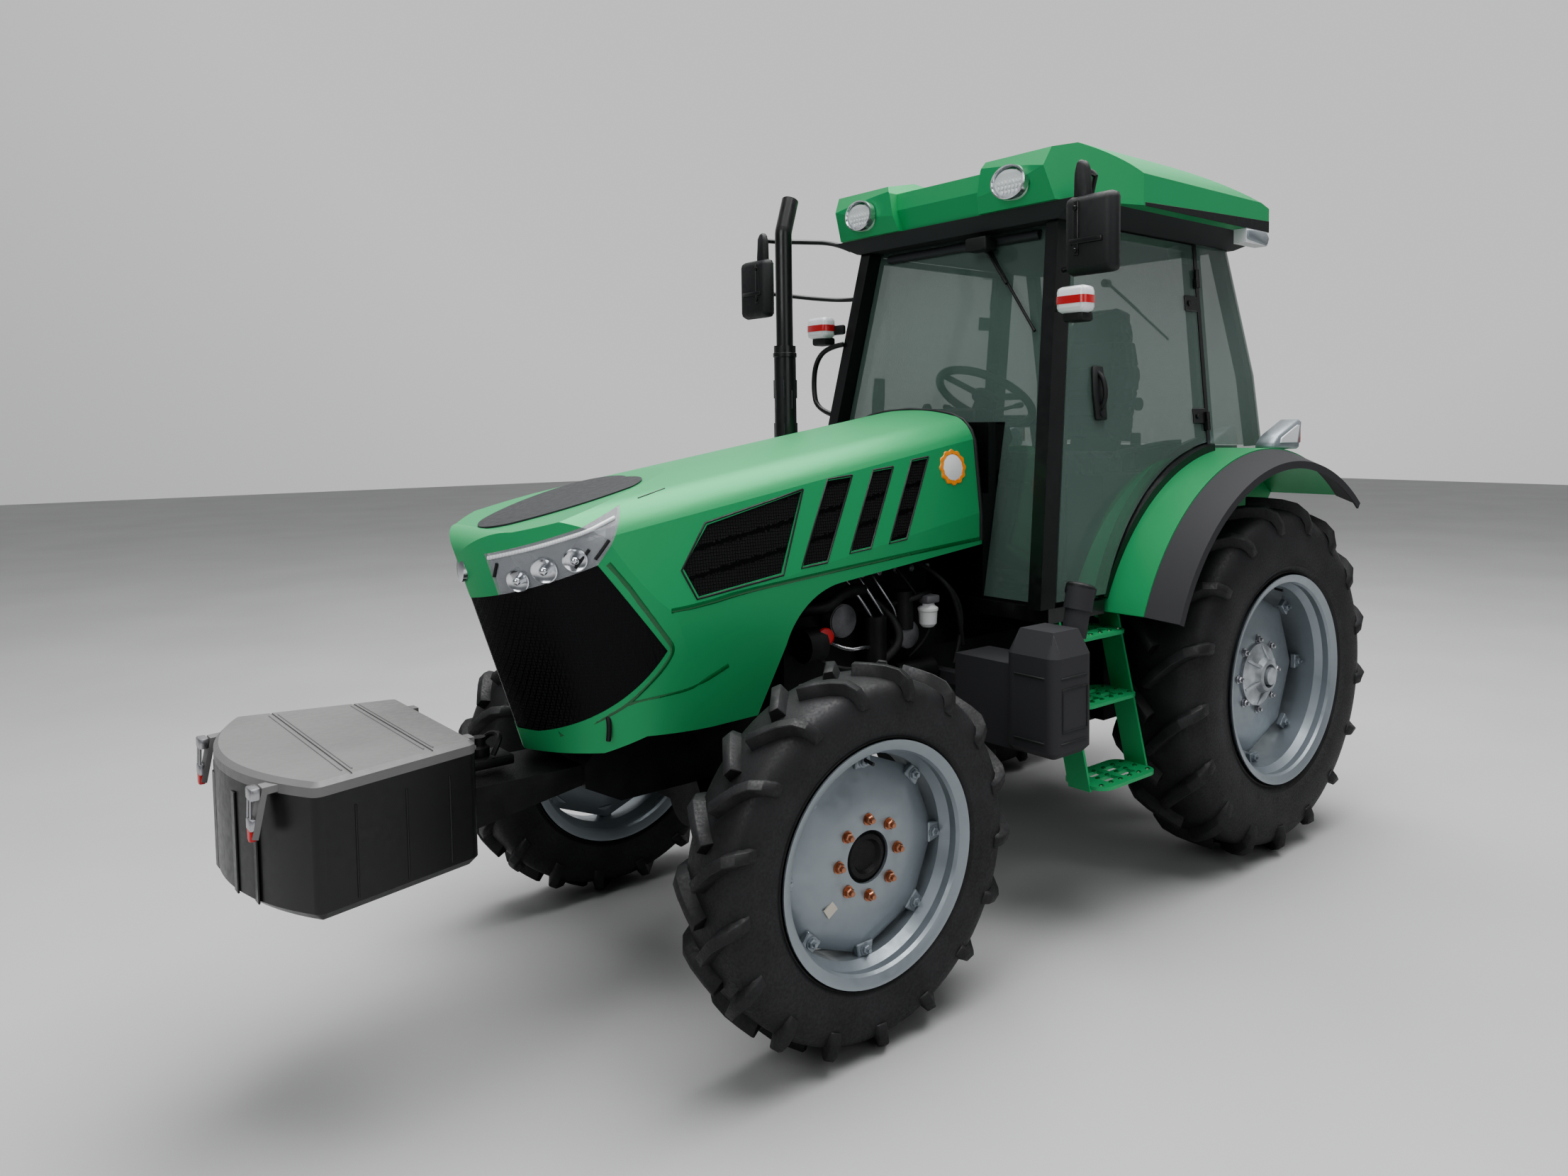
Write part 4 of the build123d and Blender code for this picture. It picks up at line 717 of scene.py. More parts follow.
# a blank round plate with a scalloped orange rim
badge_place, badge_way = touch("hood_shell", at(1.283, 1.5, 1.548), RIGHT)
for side_name, side in SIDES:
    place = Vector((badge_place.x, side * badge_place.y, badge_place.z))
    way = Vector((badge_way.x, side * badge_way.y, badge_way.z))
    rim = turned([(0.044, 0.0), (0.060, 0.0), (0.058, 0.003), (0.046, 0.0035)], place, way, 72)
    for corner in rim.data.vertices:
        spoke = corner.co - place
        turn = atan2(spoke.z, spoke.x)
        corner.co += spoke * 0.05 * cos(12 * turn)
    done(rim, f"round_plate_rim_{side_name}", "orange_ring", body="hood")
    plate = turned([(0, -0.001), (0.045, -0.001), (0.045, 0.0022), (0.043, 0.003), (0, 0.003)],
                   place, way, 48)
    done(plate, f"round_plate_{side_name}", "white_plastic", body="hood")

# a plain bare oval plate on the nose
nose = touch("hood_shell", at(4.0, 0, 1.315), BACK)[0]
plate = turned([(0, 0.004), (0.030, 0.003), (0.038, 0.0), (0.038, -0.012), (0, -0.012)], ORIGIN, FORWARD, 40)
done(moved(squeeze(plate, ORIGIN, (1, 0.62, 1)), nose), "nose_plate", "chrome", 50, "hood")

# lamps: reflector bowls, dividers and a light bar under each cover
LAMP_BOWLS = ((2.640, 1.345, 0.030), (2.700, 1.318, 0.033), (2.745, 1.290, 0.030))
for side_name, side in SIDES:
    bowls = []
    for x, z, r in LAMP_BOWLS:
        place, normal = touch("headlamps", at(x, side * 1.5, z), (0, -side, 0))
        bowl = turned([(0.0, 0.001), (r * 0.55, 0.001), (r * 0.9, 0.005), (r, 0.007), (r * 1.08, 0.006),
                       (r * 1.1, -0.004), (0, -0.004)], place, normal, 32)
        bulb = turned([(0, -0.002), (r * 0.42, -0.002), (r * 0.40, 0.010), (r * 0.25, 0.017), (0, 0.020)],
                      place, normal, 20)
        bowls.append(joined(bowl, bulb))
    done(joined(*bowls), f"lamp_bowls_{side_name}", "chrome", 40, "hood")
    bar = on_side("headlamps", fill_in([(2.535, 1.450), (2.66, 1.404), (2.80, 1.350)]), side, 0.002)
    done(hose(bar, 0.006), f"lamp_light_bar_{side_name}", "white_lens", 60, "hood")
    fins = []
    for x, z, dx, dz in ((2.565, 1.395, 0.030, -0.050), (2.610, 1.372, 0.028, -0.048),
                         (2.785, 1.335, 0.0, -0.09)):
        line = fill_in([(x, z), (x + dx, z + dz)], 0.02)
        fins.append(hose(on_side("headlamps", line, side, 0.002), 0.0045))
    done(joined(*fins), f"lamp_dividers_{side_name}", "black_plastic", 60, "hood")

# catch and hinge hook at the chin
for side_name, side in SIDES:
    hook = touch("hood_shell", at(2.540, side * 1.5, 0.880), (0, -side, 0))[0]
    catch = hose([hook + UP * 0.02, hook + Vector((0, side * 0.012, 0)), hook + DOWN * 0.045], 0.007)
    done(catch, f"hood_catch_{side_name}", "black_plastic", 50, "hood")


# ======== engine bay ========

BAY_HOSES = (  # radius, finish, route from the rear axle
    (0.019, "hose_rubber", ((1.88, 0.20, 1.12), (1.80, 0.27, 1.10), (1.70, 0.27, 1.17), (1.60, 0.23, 1.15))),
    (0.016, "hose_rubber", ((1.52, 0.20, 1.10), (1.46, 0.27, 1.02), (1.50, 0.28, 0.92), (1.62, 0.24, 0.88))),
    (0.009, "hose_rubber", ((1.34, 0.20, 1.22), (1.30, 0.30, 1.18), (1.22, 0.31, 1.05), (1.20, 0.30, 0.92))),
    (0.008, "hose_rubber", ((1.30, 0.20, 1.20), (1.25, 0.29, 1.15), (1.18, 0.30, 1.00), (1.24, 0.30, 0.86))),
    (0.006, "hose_rubber", ((1.42, 0.20, 1.20), (1.38, 0.28, 1.10), (1.33, 0.30, 0.98), (1.40, 0.24, 0.90))),
    (0.006, "bright_steel", ((1.66, 0.20, 1.20), (1.62, 0.25, 1.12), (1.56, 0.26, 1.02), (1.56, 0.20, 0.94))),
    (0.006, "bright_steel", ((1.60, 0.20, 1.20), (1.57, 0.25, 1.12), (1.51, 0.26, 1.02), (1.50, 0.20, 0.96))),
    (0.005, "bright_steel", ((1.54, 0.20, 1.20), (1.52, 0.25, 1.13), (1.46, 0.26, 1.04), (1.44, 0.20, 0.98))),
    (0.007, "bright_steel", ((1.74, 0.20, 1.00), (1.70, 0.26, 0.96), (1.60, 0.27, 0.97), (1.52, 0.22, 0.93))),
    (0.011, "hose_rubber", ((1.26, 0.20, 1.10), (1.34, 0.28, 1.12), (1.44, 0.28, 1.10), (1.50, 0.20, 1.08))),
    (0.008, "hose_rubber", ((1.84, 0.20, 0.98), (1.78, 0.28, 0.92), (1.64, 0.30, 0.90), (1.50, 0.24, 0.84))),
)
for side_name, side in SIDES:
    for number, (radius, finish, route) in enumerate(BAY_HOSES, 1):
        line = pipe([(x, side * y, z) for x, y, z in route], radius)
        done(line, f"engine_pipe_{number}_{side_name}", finish, 60)

# filler with a red cap, and a filter with a white bowl
filler = turned([(0, -0.06), (0.020, -0.06), (0.020, -0.004), (0.026, 0.0), (0.026, 0.008), (0, 0.008)],
                at(1.795, 0.262, 1.02), (0.25, 1, 0.3), 24)
done(filler, "oil_filler_neck", "casting")
cap = turned([(0, 0.006), (0.027, 0.006), (0.029, 0.010), (0.029, 0.026), (0.024, 0.032), (0.010, 0.034),
              (0, 0.034)], at(1.795, 0.262, 1.02), (0.25, 1, 0.3), 18)
done(cap, "oil_filler_cap", "red_plastic", 25)
bowl = turned([(0, -0.045), (0.020, -0.043), (0.030, -0.032), (0.033, 0.010), (0.036, 0.014), (0.036, 0.022),
               (0.024, 0.032), (0.018, 0.050), (0, 0.050)], at(1.352, 0.285, 1.045), UP, 28)
done(bowl, "fuel_filter_bowl", "white_plastic", 30)
head = block((1.322, 0.215, 1.085), (1.382, 0.315, 1.112), 0.006)
done(head, "fuel_filter_head", "light_casting")
RIBBED = ((1.70, 0.205, 1.06, 0.055, 0.05), (1.42, 0.205, 0.98, 0.048, 0.06))
for number, (x, y, z, r, wide) in enumerate(RIBBED, 1):
    outline = [(0, 0)]
    for i in range(6):
        outline += [(r, wide * i / 6), (r, wide * (i + 0.5) / 6), (r * 0.93, wide * (i + 0.55) / 6),
                    (r * 0.93, wide * (i + 0.95) / 6)]
    outline += [(r * 0.9, wide), (r * 0.3, wide * 1.15), (0, wide * 1.15)]
    done(turned(outline, at(x, y, z), LEFT, 36), f"belt_driven_unit_{number}", "light_casting", 25)
covers = [block((1.28 + 0.145 * i, 0.150, 1.225), (1.40 + 0.145 * i, 0.205, 1.262), 0.010) for i in range(4)]
done(joined(*covers), "rocker_covers", "light_casting")
bolts = []
for i in range(9):
    for z in (0.70, 1.195):
        bolts.append(hex_bolt(at(1.27 + 0.075 * i, 0.195, z), LEFT, 0.009, 0.008))
on_both(joined(*bolts), "engine_bolts", "bright_steel")


# ======== roof, mirrors and lamps ========

# the oval rims of the roof lamps, with the lamps' inner rings
LAMP_PLACE = at(1.060, 0.398, 2.528)
bezel = turned([(0.068, 0.004), (0.073, 0.012), (0.079, 0.010), (0.081, -0.012), (0.068, -0.012)],
               ORIGIN, FORWARD, 56)
on_both(moved(squeeze(bezel, ORIGIN, (1, 1, 0.74)), LAMP_PLACE), "roof_lamp_bezel", "chrome")
# rows of small emitters behind the roof lamps' covers
cells = []
for row in range(-2, 3):
    for column in range(-3, 4):
        if (row / 2.6) ** 2 + (column / 3.6) ** 2 <= 1:
            place = LAMP_PLACE + Vector((0, 0.0165 * column, 0.0165 * row))
            cells.append(turned([(0, 0), (0.0066, 0), (0.0062, 0.002), (0.004, 0.0035), (0, 0.0035)],
                                place, FORWARD, 10))
on_both(joined(*cells), "roof_lamp_emitters", "white_lens")

# marker lamps with a coloured band round each
on_both(block((1.008, 0.613, 2.058), (1.076, 0.736, 2.147), 0.019), "marker_lamp", "white_lens", 60)
for name in ("left", "right"):
    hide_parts("side_lamps")
band = block((1.0065, 0.6115, 2.0565), (1.0775, 0.7375, 2.1485), 0.019)
for height, above in ((2.088, True), (2.114, False)):
    plane = dict(plane_co=(0, 0, height), plane_no=UP, use_fill=True)
    worked(band, (bpy.ops.mesh.bisect, dict(clear_inner=above, clear_outer=not above, **plane)))
on_both(band, "marker_stripe", "red_lens", 60)
bracket = joined(block((1.000, 0.630, 2.030), (1.060, 0.718, 2.064), 0.010),
                 block((1.000, 0.560, 2.072), (1.020, 0.640, 2.112), 0.008))
on_both(bracket, "marker_bracket", "black_plastic")

# the fender lamps: a pale housing cut back like a wing, with its glasses
housing = upright([(-0.060, 0.0), (-0.270, 0.0), (-0.290, 0.115), (-0.262, 0.122), (-0.105, 0.058),
                   (-0.066, 0.030)], at(0, 0.782, 1.586), 0.084, 0.009)
on_both(housing, "fender_lamp_housing", "wheel_silver", 50)
on_both(block((-0.295, 0.706, 1.610), (-0.272, 0.774, 1.692), 0.004), "fender_lamp_glass", "red_lens")
on_both(upright([(-0.110, 0.026), (-0.245, 0.026), (-0.262, 0.095), (-0.245, 0.098), (-0.118, 0.046)],
                at(0, 0.786, 1.586), 0.008, 0.002), "fender_lamp_side_glass", "white_lens")


# mirrors: a rounded shell that narrows forward, on a thick arm with stays from the cab's corner
shell = block((1.196, 0.783, 2.146), (1.250, 0.977, 2.394), 0.022)
middle = at(1.22, 0.88, 2.27)
for corner in shell.data.vertices:
    share = max(0, (corner.co.x - at(1.205, 0, 0).x) / 0.045)
    corner.co.y += (middle.y - corner.co.y) * 0.09 * share
    corner.co.z += (middle.z - corner.co.z) * 0.07 * share
arm = facing([(0.806, 2.250), (0.866, 2.250), (0.872, 2.40), (0.864, 2.480), (0.846, 2.502), (0.822, 2.498),
              (0.812, 2.46)], at(1.232, 0, 0), -0.030, 0.009)
on_both(joined(shell, arm), "mirror_shell", "black_plastic", 60, stands_for="mirror")
STAYS = (
    (0.010, ((1.215, 0.838, 2.470), (1.150, 0.838, 2.472), (1.06, 0.76, 2.470), (0.96, 0.672, 2.466),
             (0.94, 0.600, 2.430))),
    (0.009, ((1.205, 0.820, 2.250), (1.150, 0.790, 2.243), (1.05, 0.690, 2.226), (0.985, 0.610, 2.218),
             (0.965, 0.560, 2.218))),
    (0.008, ((1.130, 0.822, 2.470), (1.128, 0.800, 2.40), (1.130, 0.785, 2.30), (1.150, 0.790, 2.243))),
)
on_both(joined(*[pipe(route, radius) for radius, route in STAYS]), "mirror_stays", "black_enamel", 60)
on_both(block((1.1935, 0.797, 2.162), (1.1985, 0.963, 2.378), 0.002), "mirror_glass", "chrome")
on_both(joined(
    block((1.243, 0.829, 2.206), (1.254, 0.851, 2.372), 0.004),
    block((1.243, 0.815, 2.240), (1.256, 0.940, 2.258), 0.004),
    *[hex_bolt(at(1.254, 0.840, z), FORWARD, 0.007, 0.005) for z in (2.350, 2.222)],
), "mirror_clamp", "black_enamel")

# grab rails at the right front post
rail = pipe([(1.02, -0.555, 2.03), (1.055, -0.62, 2.02), (1.055, -0.70, 1.96), (1.055, -0.715, 1.85),
             (1.055, -0.69, 1.76), (1.03, -0.60, 1.735)], 0.011)
done(rail, "grab_rail_right", "black_enamel", 60)


def wiper(pivot, tip, lift, arm_steps, blade_steps, runs):
    """An arm over a pane with its blade, both held off it by steps along the tractor."""
    middle = pivot.lerp(tip, 0.45) + lift
    along = (tip - pivot).normalized()
    foot, bend = (pivot + FORWARD * step for step in arm_steps)
    blade = [middle + along * run + FORWARD * step for run, step in zip(runs, blade_steps)]
    return joined(hose([foot, bend + along * 0.03, middle], 0.006), hose(blade, 0.0055))


pivot, tip = (touch("cab_windows", at(2.5, y, z), BACK)[0] for y, z in ((0.162, 2.340), (0.430, 2.020)))
arm = wiper(pivot, tip, Vector((0.024, 0, 0.006)), (0.018, 0.030), (-0.010, -0.006, -0.012), (-0.19, 0, 0.24))
hub = turned([(0, -0.02), (0.018, -0.02), (0.018, 0.022), (0.012, 0.028), (0, 0.028)], pivot, (1, 0, 0.2), 20)
motor = block((0.925, 0.110, 2.330), (0.985, 0.215, 2.380), 0.008)
done(joined(arm, hub, motor), "front_wiper", "black_plastic", 50)
pivot, tip = (touch("cab_windows", at(-2.0, y, z), FORWARD)[0] for y, z in ((-0.10, 2.330), (0.20, 2.040)))
arm = wiper(pivot, tip, Vector((-0.022, 0, 0)), (-0.016, -0.026), (0.008, 0.004, 0.010), (-0.17, 0, 0.20))
hub = turned([(0, -0.015), (0.018, -0.015), (0.018, 0.020), (0.012, 0.025), (0, 0.025)], pivot, BACK, 20)
done(joined(arm, hub), "rear_wiper", "black_plastic", 50)

# under the roof's rear corners: silver lamp housings
on_both(upright([(-0.135, 0.0), (0.018, 0.012), (0.018, 0.052), (-0.130, 0.052), (-0.150, 0.030)],
                at(0, 0.706, 2.396), 0.056, 0.006), "roof_corner_lamp", "wheel_silver", 50)

# the roof's black gutter, deeper towards the rear, and its panel joints
side_row = [touch("roof_shell", at(0.97 - 0.02 * i, 1.5, 2.458), RIGHT)[0] for i in range(64)]
side_x = [place.x - rear_x for place in side_row if 0.696 < place.y < 0.702]
front_x, tail_x = side_x[0], side_x[-1]
on_both(upright([(front_x, 2.450), (tail_x, 2.450), (tail_x, 2.494), (0.35, 2.476), (front_x, 2.462)],
                at(0, 0.7012, 0), 0.005, 0.001), "roof_gutter", "black_plastic")
for side_name, side in SIDES:
    seam = [touch("roof_shell", at(0.90 - 0.11 * i, side * 0.22, 3.2), DOWN)[0] for i in range(10)]
    done(hose(seam, 0.003), f"roof_seam_{side_name}", "black_plastic", 60)


# ======== toolbox, tank, steps and exhaust ========

for side_name, side in SIDES:
    x, y = 3.405, side * 0.269
    wires = [pipe([(x + 0.004, y + out, 0.895), (x + 0.007, y + out, 0.825)], 0.003, False)
             for out in (-0.012, 0.012)]
    keeper = joined(
        block((x - 0.014, y - 0.022, 0.880), (x + 0.008, y + 0.022, 0.908), 0.004),
        *wires,
        block((x - 0.006, y - 0.019, 0.812), (x + 0.010, y + 0.019, 0.840), 0.004),
    )
    done(keeper, f"toolbox_latch_{side_name}", "bright_steel", body="toolbox_lid")
    grip = facing([(-0.016, 0.818), (0.016, 0.818), (0.013, 0.790), (0.0, 0.784), (-0.013, 0.790)],
                  at(x + 0.0095, y, 0), -0.016, 0.003)
    done(grip, f"toolbox_latch_grip_{side_name}", "red_plastic", 40, "toolbox_lid")

for number, (x, half) in enumerate(((3.030, 0.285), (3.225, 0.325)), 1):
    edges = []
    for shift in (-0.011, 0.011):
        line = [touch("toolbox_lid", at(x + shift, y, 1.5), DOWN)[0] for y in (-half, 0.0, half)]
        edges.append(hose(line, 0.0022, False))
    done(joined(*edges), f"lid_groove_edge_{number}", "lid_plastic", 60, "toolbox_lid")
ribs = []
for y in (-0.20, -0.10, 0.10, 0.20):
    face_x = touch("toolbox", at(4.2, y, 0.75), BACK)[0].x
    ribs.append(facing([(-0.016, 0.62), (0.016, 0.62), (0.016, 0.86), (-0.016, 0.86)],
                       Vector((face_x - 0.002, y, 0)), 0.0045, 0.0015))
done(joined(*ribs), "toolbox_front_ribs", "box_plastic")
for side_name, side in SIDES:
    row = []
    for x in (2.99, 3.10, 3.22):
        place = touch("toolbox", at(x, side * 1.5, 0.75), (0, -side, 0))[0]
        row.append(hose([place + DOWN * 0.115, place + UP * 0.10], 0.0025, False))
    done(joined(*row), f"toolbox_side_ribs_{side_name}", "box_plastic", 60)

# the casting behind the toolbox, with pin and eye
tow = joined(
    block((2.720, -0.055, 0.765), (2.900, 0.055, 0.792), 0.006),
    turned([(0, -0.03), (0.030, -0.03), (0.030, 0.016), (0.020, 0.022), (0.020, 0.045), (0, 0.045)],
           at(2.80, 0, 0.80), UP, 28),
    pipe([(2.78, -0.05, 0.80), (2.76, -0.05, 0.835), (2.74, 0.0, 0.845), (2.76, 0.05, 0.835),
          (2.78, 0.05, 0.80)], 0.008),
)
done(tow, "front_tow_pin", "casting", 40)

# the tank's scalloped cap and moulding lines, the battery box's handle
cap_place = at(1.124, 0.760, 1.140)
tank_cap = turned([(0, -0.01), (0.040, -0.01), (0.049, -0.004), (0.050, 0.004), (0.050, 0.026),
                   (0.046, 0.032), (0.030, 0.036), (0, 0.036)], cap_place, (-0.35, 0, 1), 36)
for corner in tank_cap.data.vertices:
    spoke = corner.co - cap_place
    corner.co += Vector((spoke.x, spoke.y, 0)) * 0.018 * cos(18 * atan2(spoke.y, spoke.x))
done(tank_cap, "tank_cap", "black_plastic", 30)
round_tank = [(x, 1.2, RIGHT) for x in (1.20, 1.26, 1.32)] + [(1.8, y, BACK) for y in (0.80, 0.74, 0.68)]
lines = [hose([touch("fuel_tank", at(x, y, z), way)[0] for x, y, way in round_tank], 0.004, False)
         for z in (0.700, 0.905)]
done(joined(*lines), "tank_mould_lines", "black_plastic", 60)
corners = ((1.195, 0.735), (1.315, 0.735), (1.315, 0.870), (1.195, 0.870), (1.195, 0.735))
panel_line = hose(on_side("fuel_tank", fill_in(corners, 0.03)), 0.0035, False)
done(panel_line, "tank_side_panel", "black_plastic", 60)
strap = [touch("battery_box", at(x, -1.3, 0.79), LEFT)[0] for x in (1.19, 1.32)]
done(hose(strap, 0.006, False), "battery_box_handle", "black_plastic", 60)

# steps: raised studs on the treads
stud = [(0.005, 0), (0.009, 0), (0.007, 0.004), (0.005, 0.004)]
for side_name, side in SIDES:
    studs = []
    for tread_z, tread_y in ((0.974, 0.706), (0.758, 0.754), (0.502, 0.832)):
        for x in (0.800 + 0.052 * i for i in range(6)):
            for y in (side * (tread_y - 0.030 - 0.055 * j) for j in range(3)):
                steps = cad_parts[f"steps_{side_name}"]
                hit, place, way, face = steps.ray_cast(at(x, y, tread_z + 0.05), DOWN)
                if hit and way.z > 0.9 and abs(place.z - tread_z) < 0.02:
                    studs.append(turned(stud, place, UP, 8))
    done(joined(*studs), f"step_studs_{side_name}", "green_paint")

# exhaust: clamp bands and slots in the sleeve
STACK_X, STACK_Y = 1.400, -0.450
band = [(0.0425, -0.009), (0.0455, -0.007), (0.0455, 0.007), (0.0425, 0.009)]
bands = [turned(band, at(STACK_X, STACK_Y, z), UP, 32) for z in (1.215, 1.58, 1.965)]
done(joined(*bands), "exhaust_bands", "black_enamel")
slots = []
for turn in range(8):
    out = Vector((cos(2 * pi * turn / 8), sin(2 * pi * turn / 8), 0)) * 0.0420
    for row in range(4):
        place = at(STACK_X, STACK_Y, 1.30 + 0.165 * row + (0.04 if turn % 2 else 0)) + out
        slots.append(hose([place + DOWN * 0.035, place + UP * 0.035], 0.0035, False))
done(joined(*slots), "exhaust_sleeve_slots", "pad_plastic", 60)

# small blank labels on a step's riser and on a front wheel
def sheet(wide, tall):
    """The outline of an oblong about its middle."""
    return [(-wide / 2, -tall / 2), (wide / 2, -tall / 2), (wide / 2, tall / 2), (-wide / 2, tall / 2)]


place, normal = touch("steps_left", at(1.5, 0.672, 0.935), BACK)
across = UP.cross(normal).normalized()
up = normal.cross(across).normalized()
step_label = flat(sheet(0.040, 0.030), place - normal * 0.0005, across, up, 0.0016)
done(step_label, "step_label", "white_plastic")
wheel_label = flat(sheet(0.036, 0.030), at(2.05 + 0.128, 0.720 + 0.0475, 0.525 - 0.110),
                   (-0.85, 0, 0.52), (0.52, 0, 0.85), -0.0035)
done(wheel_label, "front_wheel_label", "cream_plastic", body="wheel_front_left")


# ======== cab ========

# the cushions' cloth simulation: voxels, the farthest a point may swell, pressure and frames,
# the share of the CAD solid's size at which a cushion starts
VOXEL, SWELL = 0.0075, 0.022
PRESSURE, SOFT_FRAMES = 4, 20
SHRUNK = 0.93
# what a crease's depth falls off by
FALLOFF = 2.718


def modified(piece, kind, **settings):
    """Adds a modifier with its settings and applies it."""
    take(piece)
    bpy.ops.object.modifier_add(type=kind)
    modifier = piece.modifiers[-1]
    for key, value in settings.items():
        setattr(modifier, key, value)
    bpy.ops.object.modifier_apply(modifier=modifier.name)


def padded_form(node, name, creases):
    """A stuffed cushion swollen from a CAD solid by a cloth simulation, then sewn along its creases."""
    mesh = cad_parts[node].data.copy()
    cushion = bpy.data.objects.new(name, mesh)
    bpy.context.collection.objects.link(cushion)
    close_form(cushion, 0.0001)
    low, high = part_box(node)
    middle = (low + high) / 2
    for corner in mesh.vertices:
        corner.co = middle + (corner.co - middle) * SHRUNK
    modified(cushion, "REMESH", mode="VOXEL", voxel_size=VOXEL)
    rest = [corner.co.copy() for corner in cushion.data.vertices]
    bpy.ops.object.modifier_add(type="CLOTH")
    cloth = cushion.modifiers[-1]
    cloth.settings.use_pressure = True
    cloth.settings.uniform_pressure_force = PRESSURE
    cloth.settings.effector_weights.gravity = 0
    cloth.point_cache.frame_end = SOFT_FRAMES
    for frame_number in range(1, SOFT_FRAMES + 1):
        bpy.context.scene.frame_set(frame_number)
    take(cushion)
    bpy.ops.object.modifier_apply(modifier=cloth.name)
    bpy.context.scene.frame_set(1)
    for corner, start in zip(cushion.data.vertices, rest):
        shift = corner.co - start
        if shift.length > SWELL:
            corner.co = start + shift * (SWELL / shift.length)
    modified(cushion, "SUBSURF", levels=1, render_levels=1)
    for corner in cushion.data.vertices:
        for place, way, wide, deep in creases:
            far = abs((corner.co - at(*place)).dot(way))
            if far < 3 * wide:
                corner.co += (middle - corner.co).normalized() * deep * pow(FALLOFF, -((far / wide) ** 2))
    done(cushion, name, "seat_cloth", 80, stands_for=[node])


padded_form("seat_cushion", "seat_cushion_padded", [
    *[((0.30, y, 1.5), LEFT, 0.006, 0.009) for y in (0.155, -0.155)],
    *[((x, 0, 1.5), FORWARD, 0.006, 0.006) for x in (0.24, 0.34, 0.44)]])
padded_form("seat_back", "seat_back_padded", [
    *[((0.05, y, 1.9), LEFT, 0.006, 0.009) for y in (0.145, -0.145)],
    *[((0.05, 0, z), UP, 0.006, 0.006) for z in (1.72, 1.83, 1.94)], ((0.05, 0, 2.05), UP, 0.008, 0.012)])
belt = pipe(((0.17, 0.262, 1.46), (0.16, 0.270, 1.52), (0.13, 0.266, 1.60)), 0.012)
buckle = block((0.11, 0.252, 1.585), (0.15, 0.282, 1.655), 0.006)
on_both(joined(belt, buckle), "seat_belt_buckle", "black_plastic", 50)
arm_rest = block((0.10, -0.335, 1.680), (0.42, -0.265, 1.735), 0.018)
arm_post = upright([(0.09, 1.62), (0.15, 1.60), (0.17, 1.69), (0.11, 1.70)], at(0, -0.262, 0), 0.018, 0.003)
done(joined(arm_rest, arm_post), "arm_rest", "pad_plastic", 50)

# steering wheel's grip, hub cap and spinner knob
lean = radians(32)
GRIP_R, GRIP_POINTS = 0.195, 40
wheel_axis = Vector((-sin(lean), 0, cos(lean)))
wheel_middle = at(0.755, 0, 1.800)
across, up = LEFT, wheel_axis.cross(LEFT).normalized()
grip_points = []
for i in range(GRIP_POINTS + 1):
    turn = 2 * pi * i / GRIP_POINTS
    grip_points.append(wheel_middle + (across * cos(turn) + up * sin(turn)) * GRIP_R)
done(hose(grip_points, 0.0165, False, 3), "steering_wheel_grip", "pad_plastic", 60)
hub = turned([(0, -0.012), (0.052, -0.012), (0.058, 0.0), (0.052, 0.016), (0.034, 0.022), (0, 0.024)],
             wheel_middle - wheel_axis * 0.004, wheel_axis, 36)
knob = turned([(0, 0), (0.010, 0), (0.010, 0.022), (0.020, 0.030), (0.024, 0.044), (0.018, 0.056),
               (0, 0.060)], wheel_middle + (across * 0.72 - up * 0.69) * GRIP_R, wheel_axis, 24)
done(joined(hub, knob), "steering_wheel_hub", "black_plastic", 40)
stalks = [pipe([(0.80, side * 0.05, 1.735), (0.79, side * 0.12, 1.752), (0.775, side * 0.19, 1.765)], 0.007)
          for side in (1, -1)]
tips = [turned([(0, 0), (0.010, 0.002), (0.011, 0.030), (0.008, 0.036), (0, 0.036)],
               at(0.778, side * 0.175, 1.763), (-0.07, side, 0.12), 16) for side in (1, -1)]
done(joined(*stalks, *tips), "column_stalks", "black_plastic", 40)

# instrument cluster: bare dials with ticks, under a hood
def dial(y, z, r):
    """A round instrument: bezel, ticks and a pointer."""
    place, way = at(0.846, y, z), Vector((-0.82, 0, 0.57))
    up_way = way.cross(RIGHT).normalized()
    bezel = turned([(r * 0.92, 0), (r * 0.96, 0.005), (r, 0.004), (r * 1.02, -0.004), (r * 0.92, -0.004)],
                   place, way, 40)
    ticks = []
    for i in range(11):
        turn = radians(-130 + 26 * i)
        out = RIGHT * sin(turn) + up_way * cos(turn)
        ticks.append(hose([place + out * r * 0.72, place + out * r * 0.86], 0.0011, False, 1))
    hand = radians(-60)
    out, proud = RIGHT * sin(hand) + up_way * cos(hand), way * 0.002
    ticks.append(hose([place - out * r * 0.15 + proud, place + out * r * 0.7 + proud], 0.0014, False, 1))
    return bezel, joined(*ticks)


cluster = upright([(0.842, 1.600), (1.000, 1.690), (1.000, 1.752), (0.930, 1.756), (0.872, 1.738),
                   (0.905, 1.720), (0.845, 1.632)], at(0, 0.170, 0), 0.340, 0.008)
done(cluster, "instrument_hood", "pad_plastic", 40)
dials = [dial(0.080, 1.668, 0.048), dial(-0.080, 1.668, 0.048), dial(0.0, 1.650, 0.026)]
for number, (bezel, ticks) in enumerate(dials, 1):
    done(bezel, f"dial_bezel_{number}", "chrome", 30)
    done(ticks, f"dial_ticks_{number}", "white_plastic", 60)
buttons = [block((0.812, -0.15 + 0.045 * i, 1.50), (0.822, -0.125 + 0.045 * i, 1.525), 0.003)
           for i in range(7)]
done(joined(*buttons), "dash_buttons", "pad_plastic", 40)
vent = [(0.020, -0.004), (0.030, 0.0), (0.034, 0.006), (0.036, 0.0), (0.036, -0.006), (0.020, -0.006)]
vents = [turned(vent, at(0.818, side * 0.150, 1.575), (-1, 0, 0.2), 28) for side in (1, -1)]
done(joined(*vents), "dash_vents", "pad_plastic", 40)

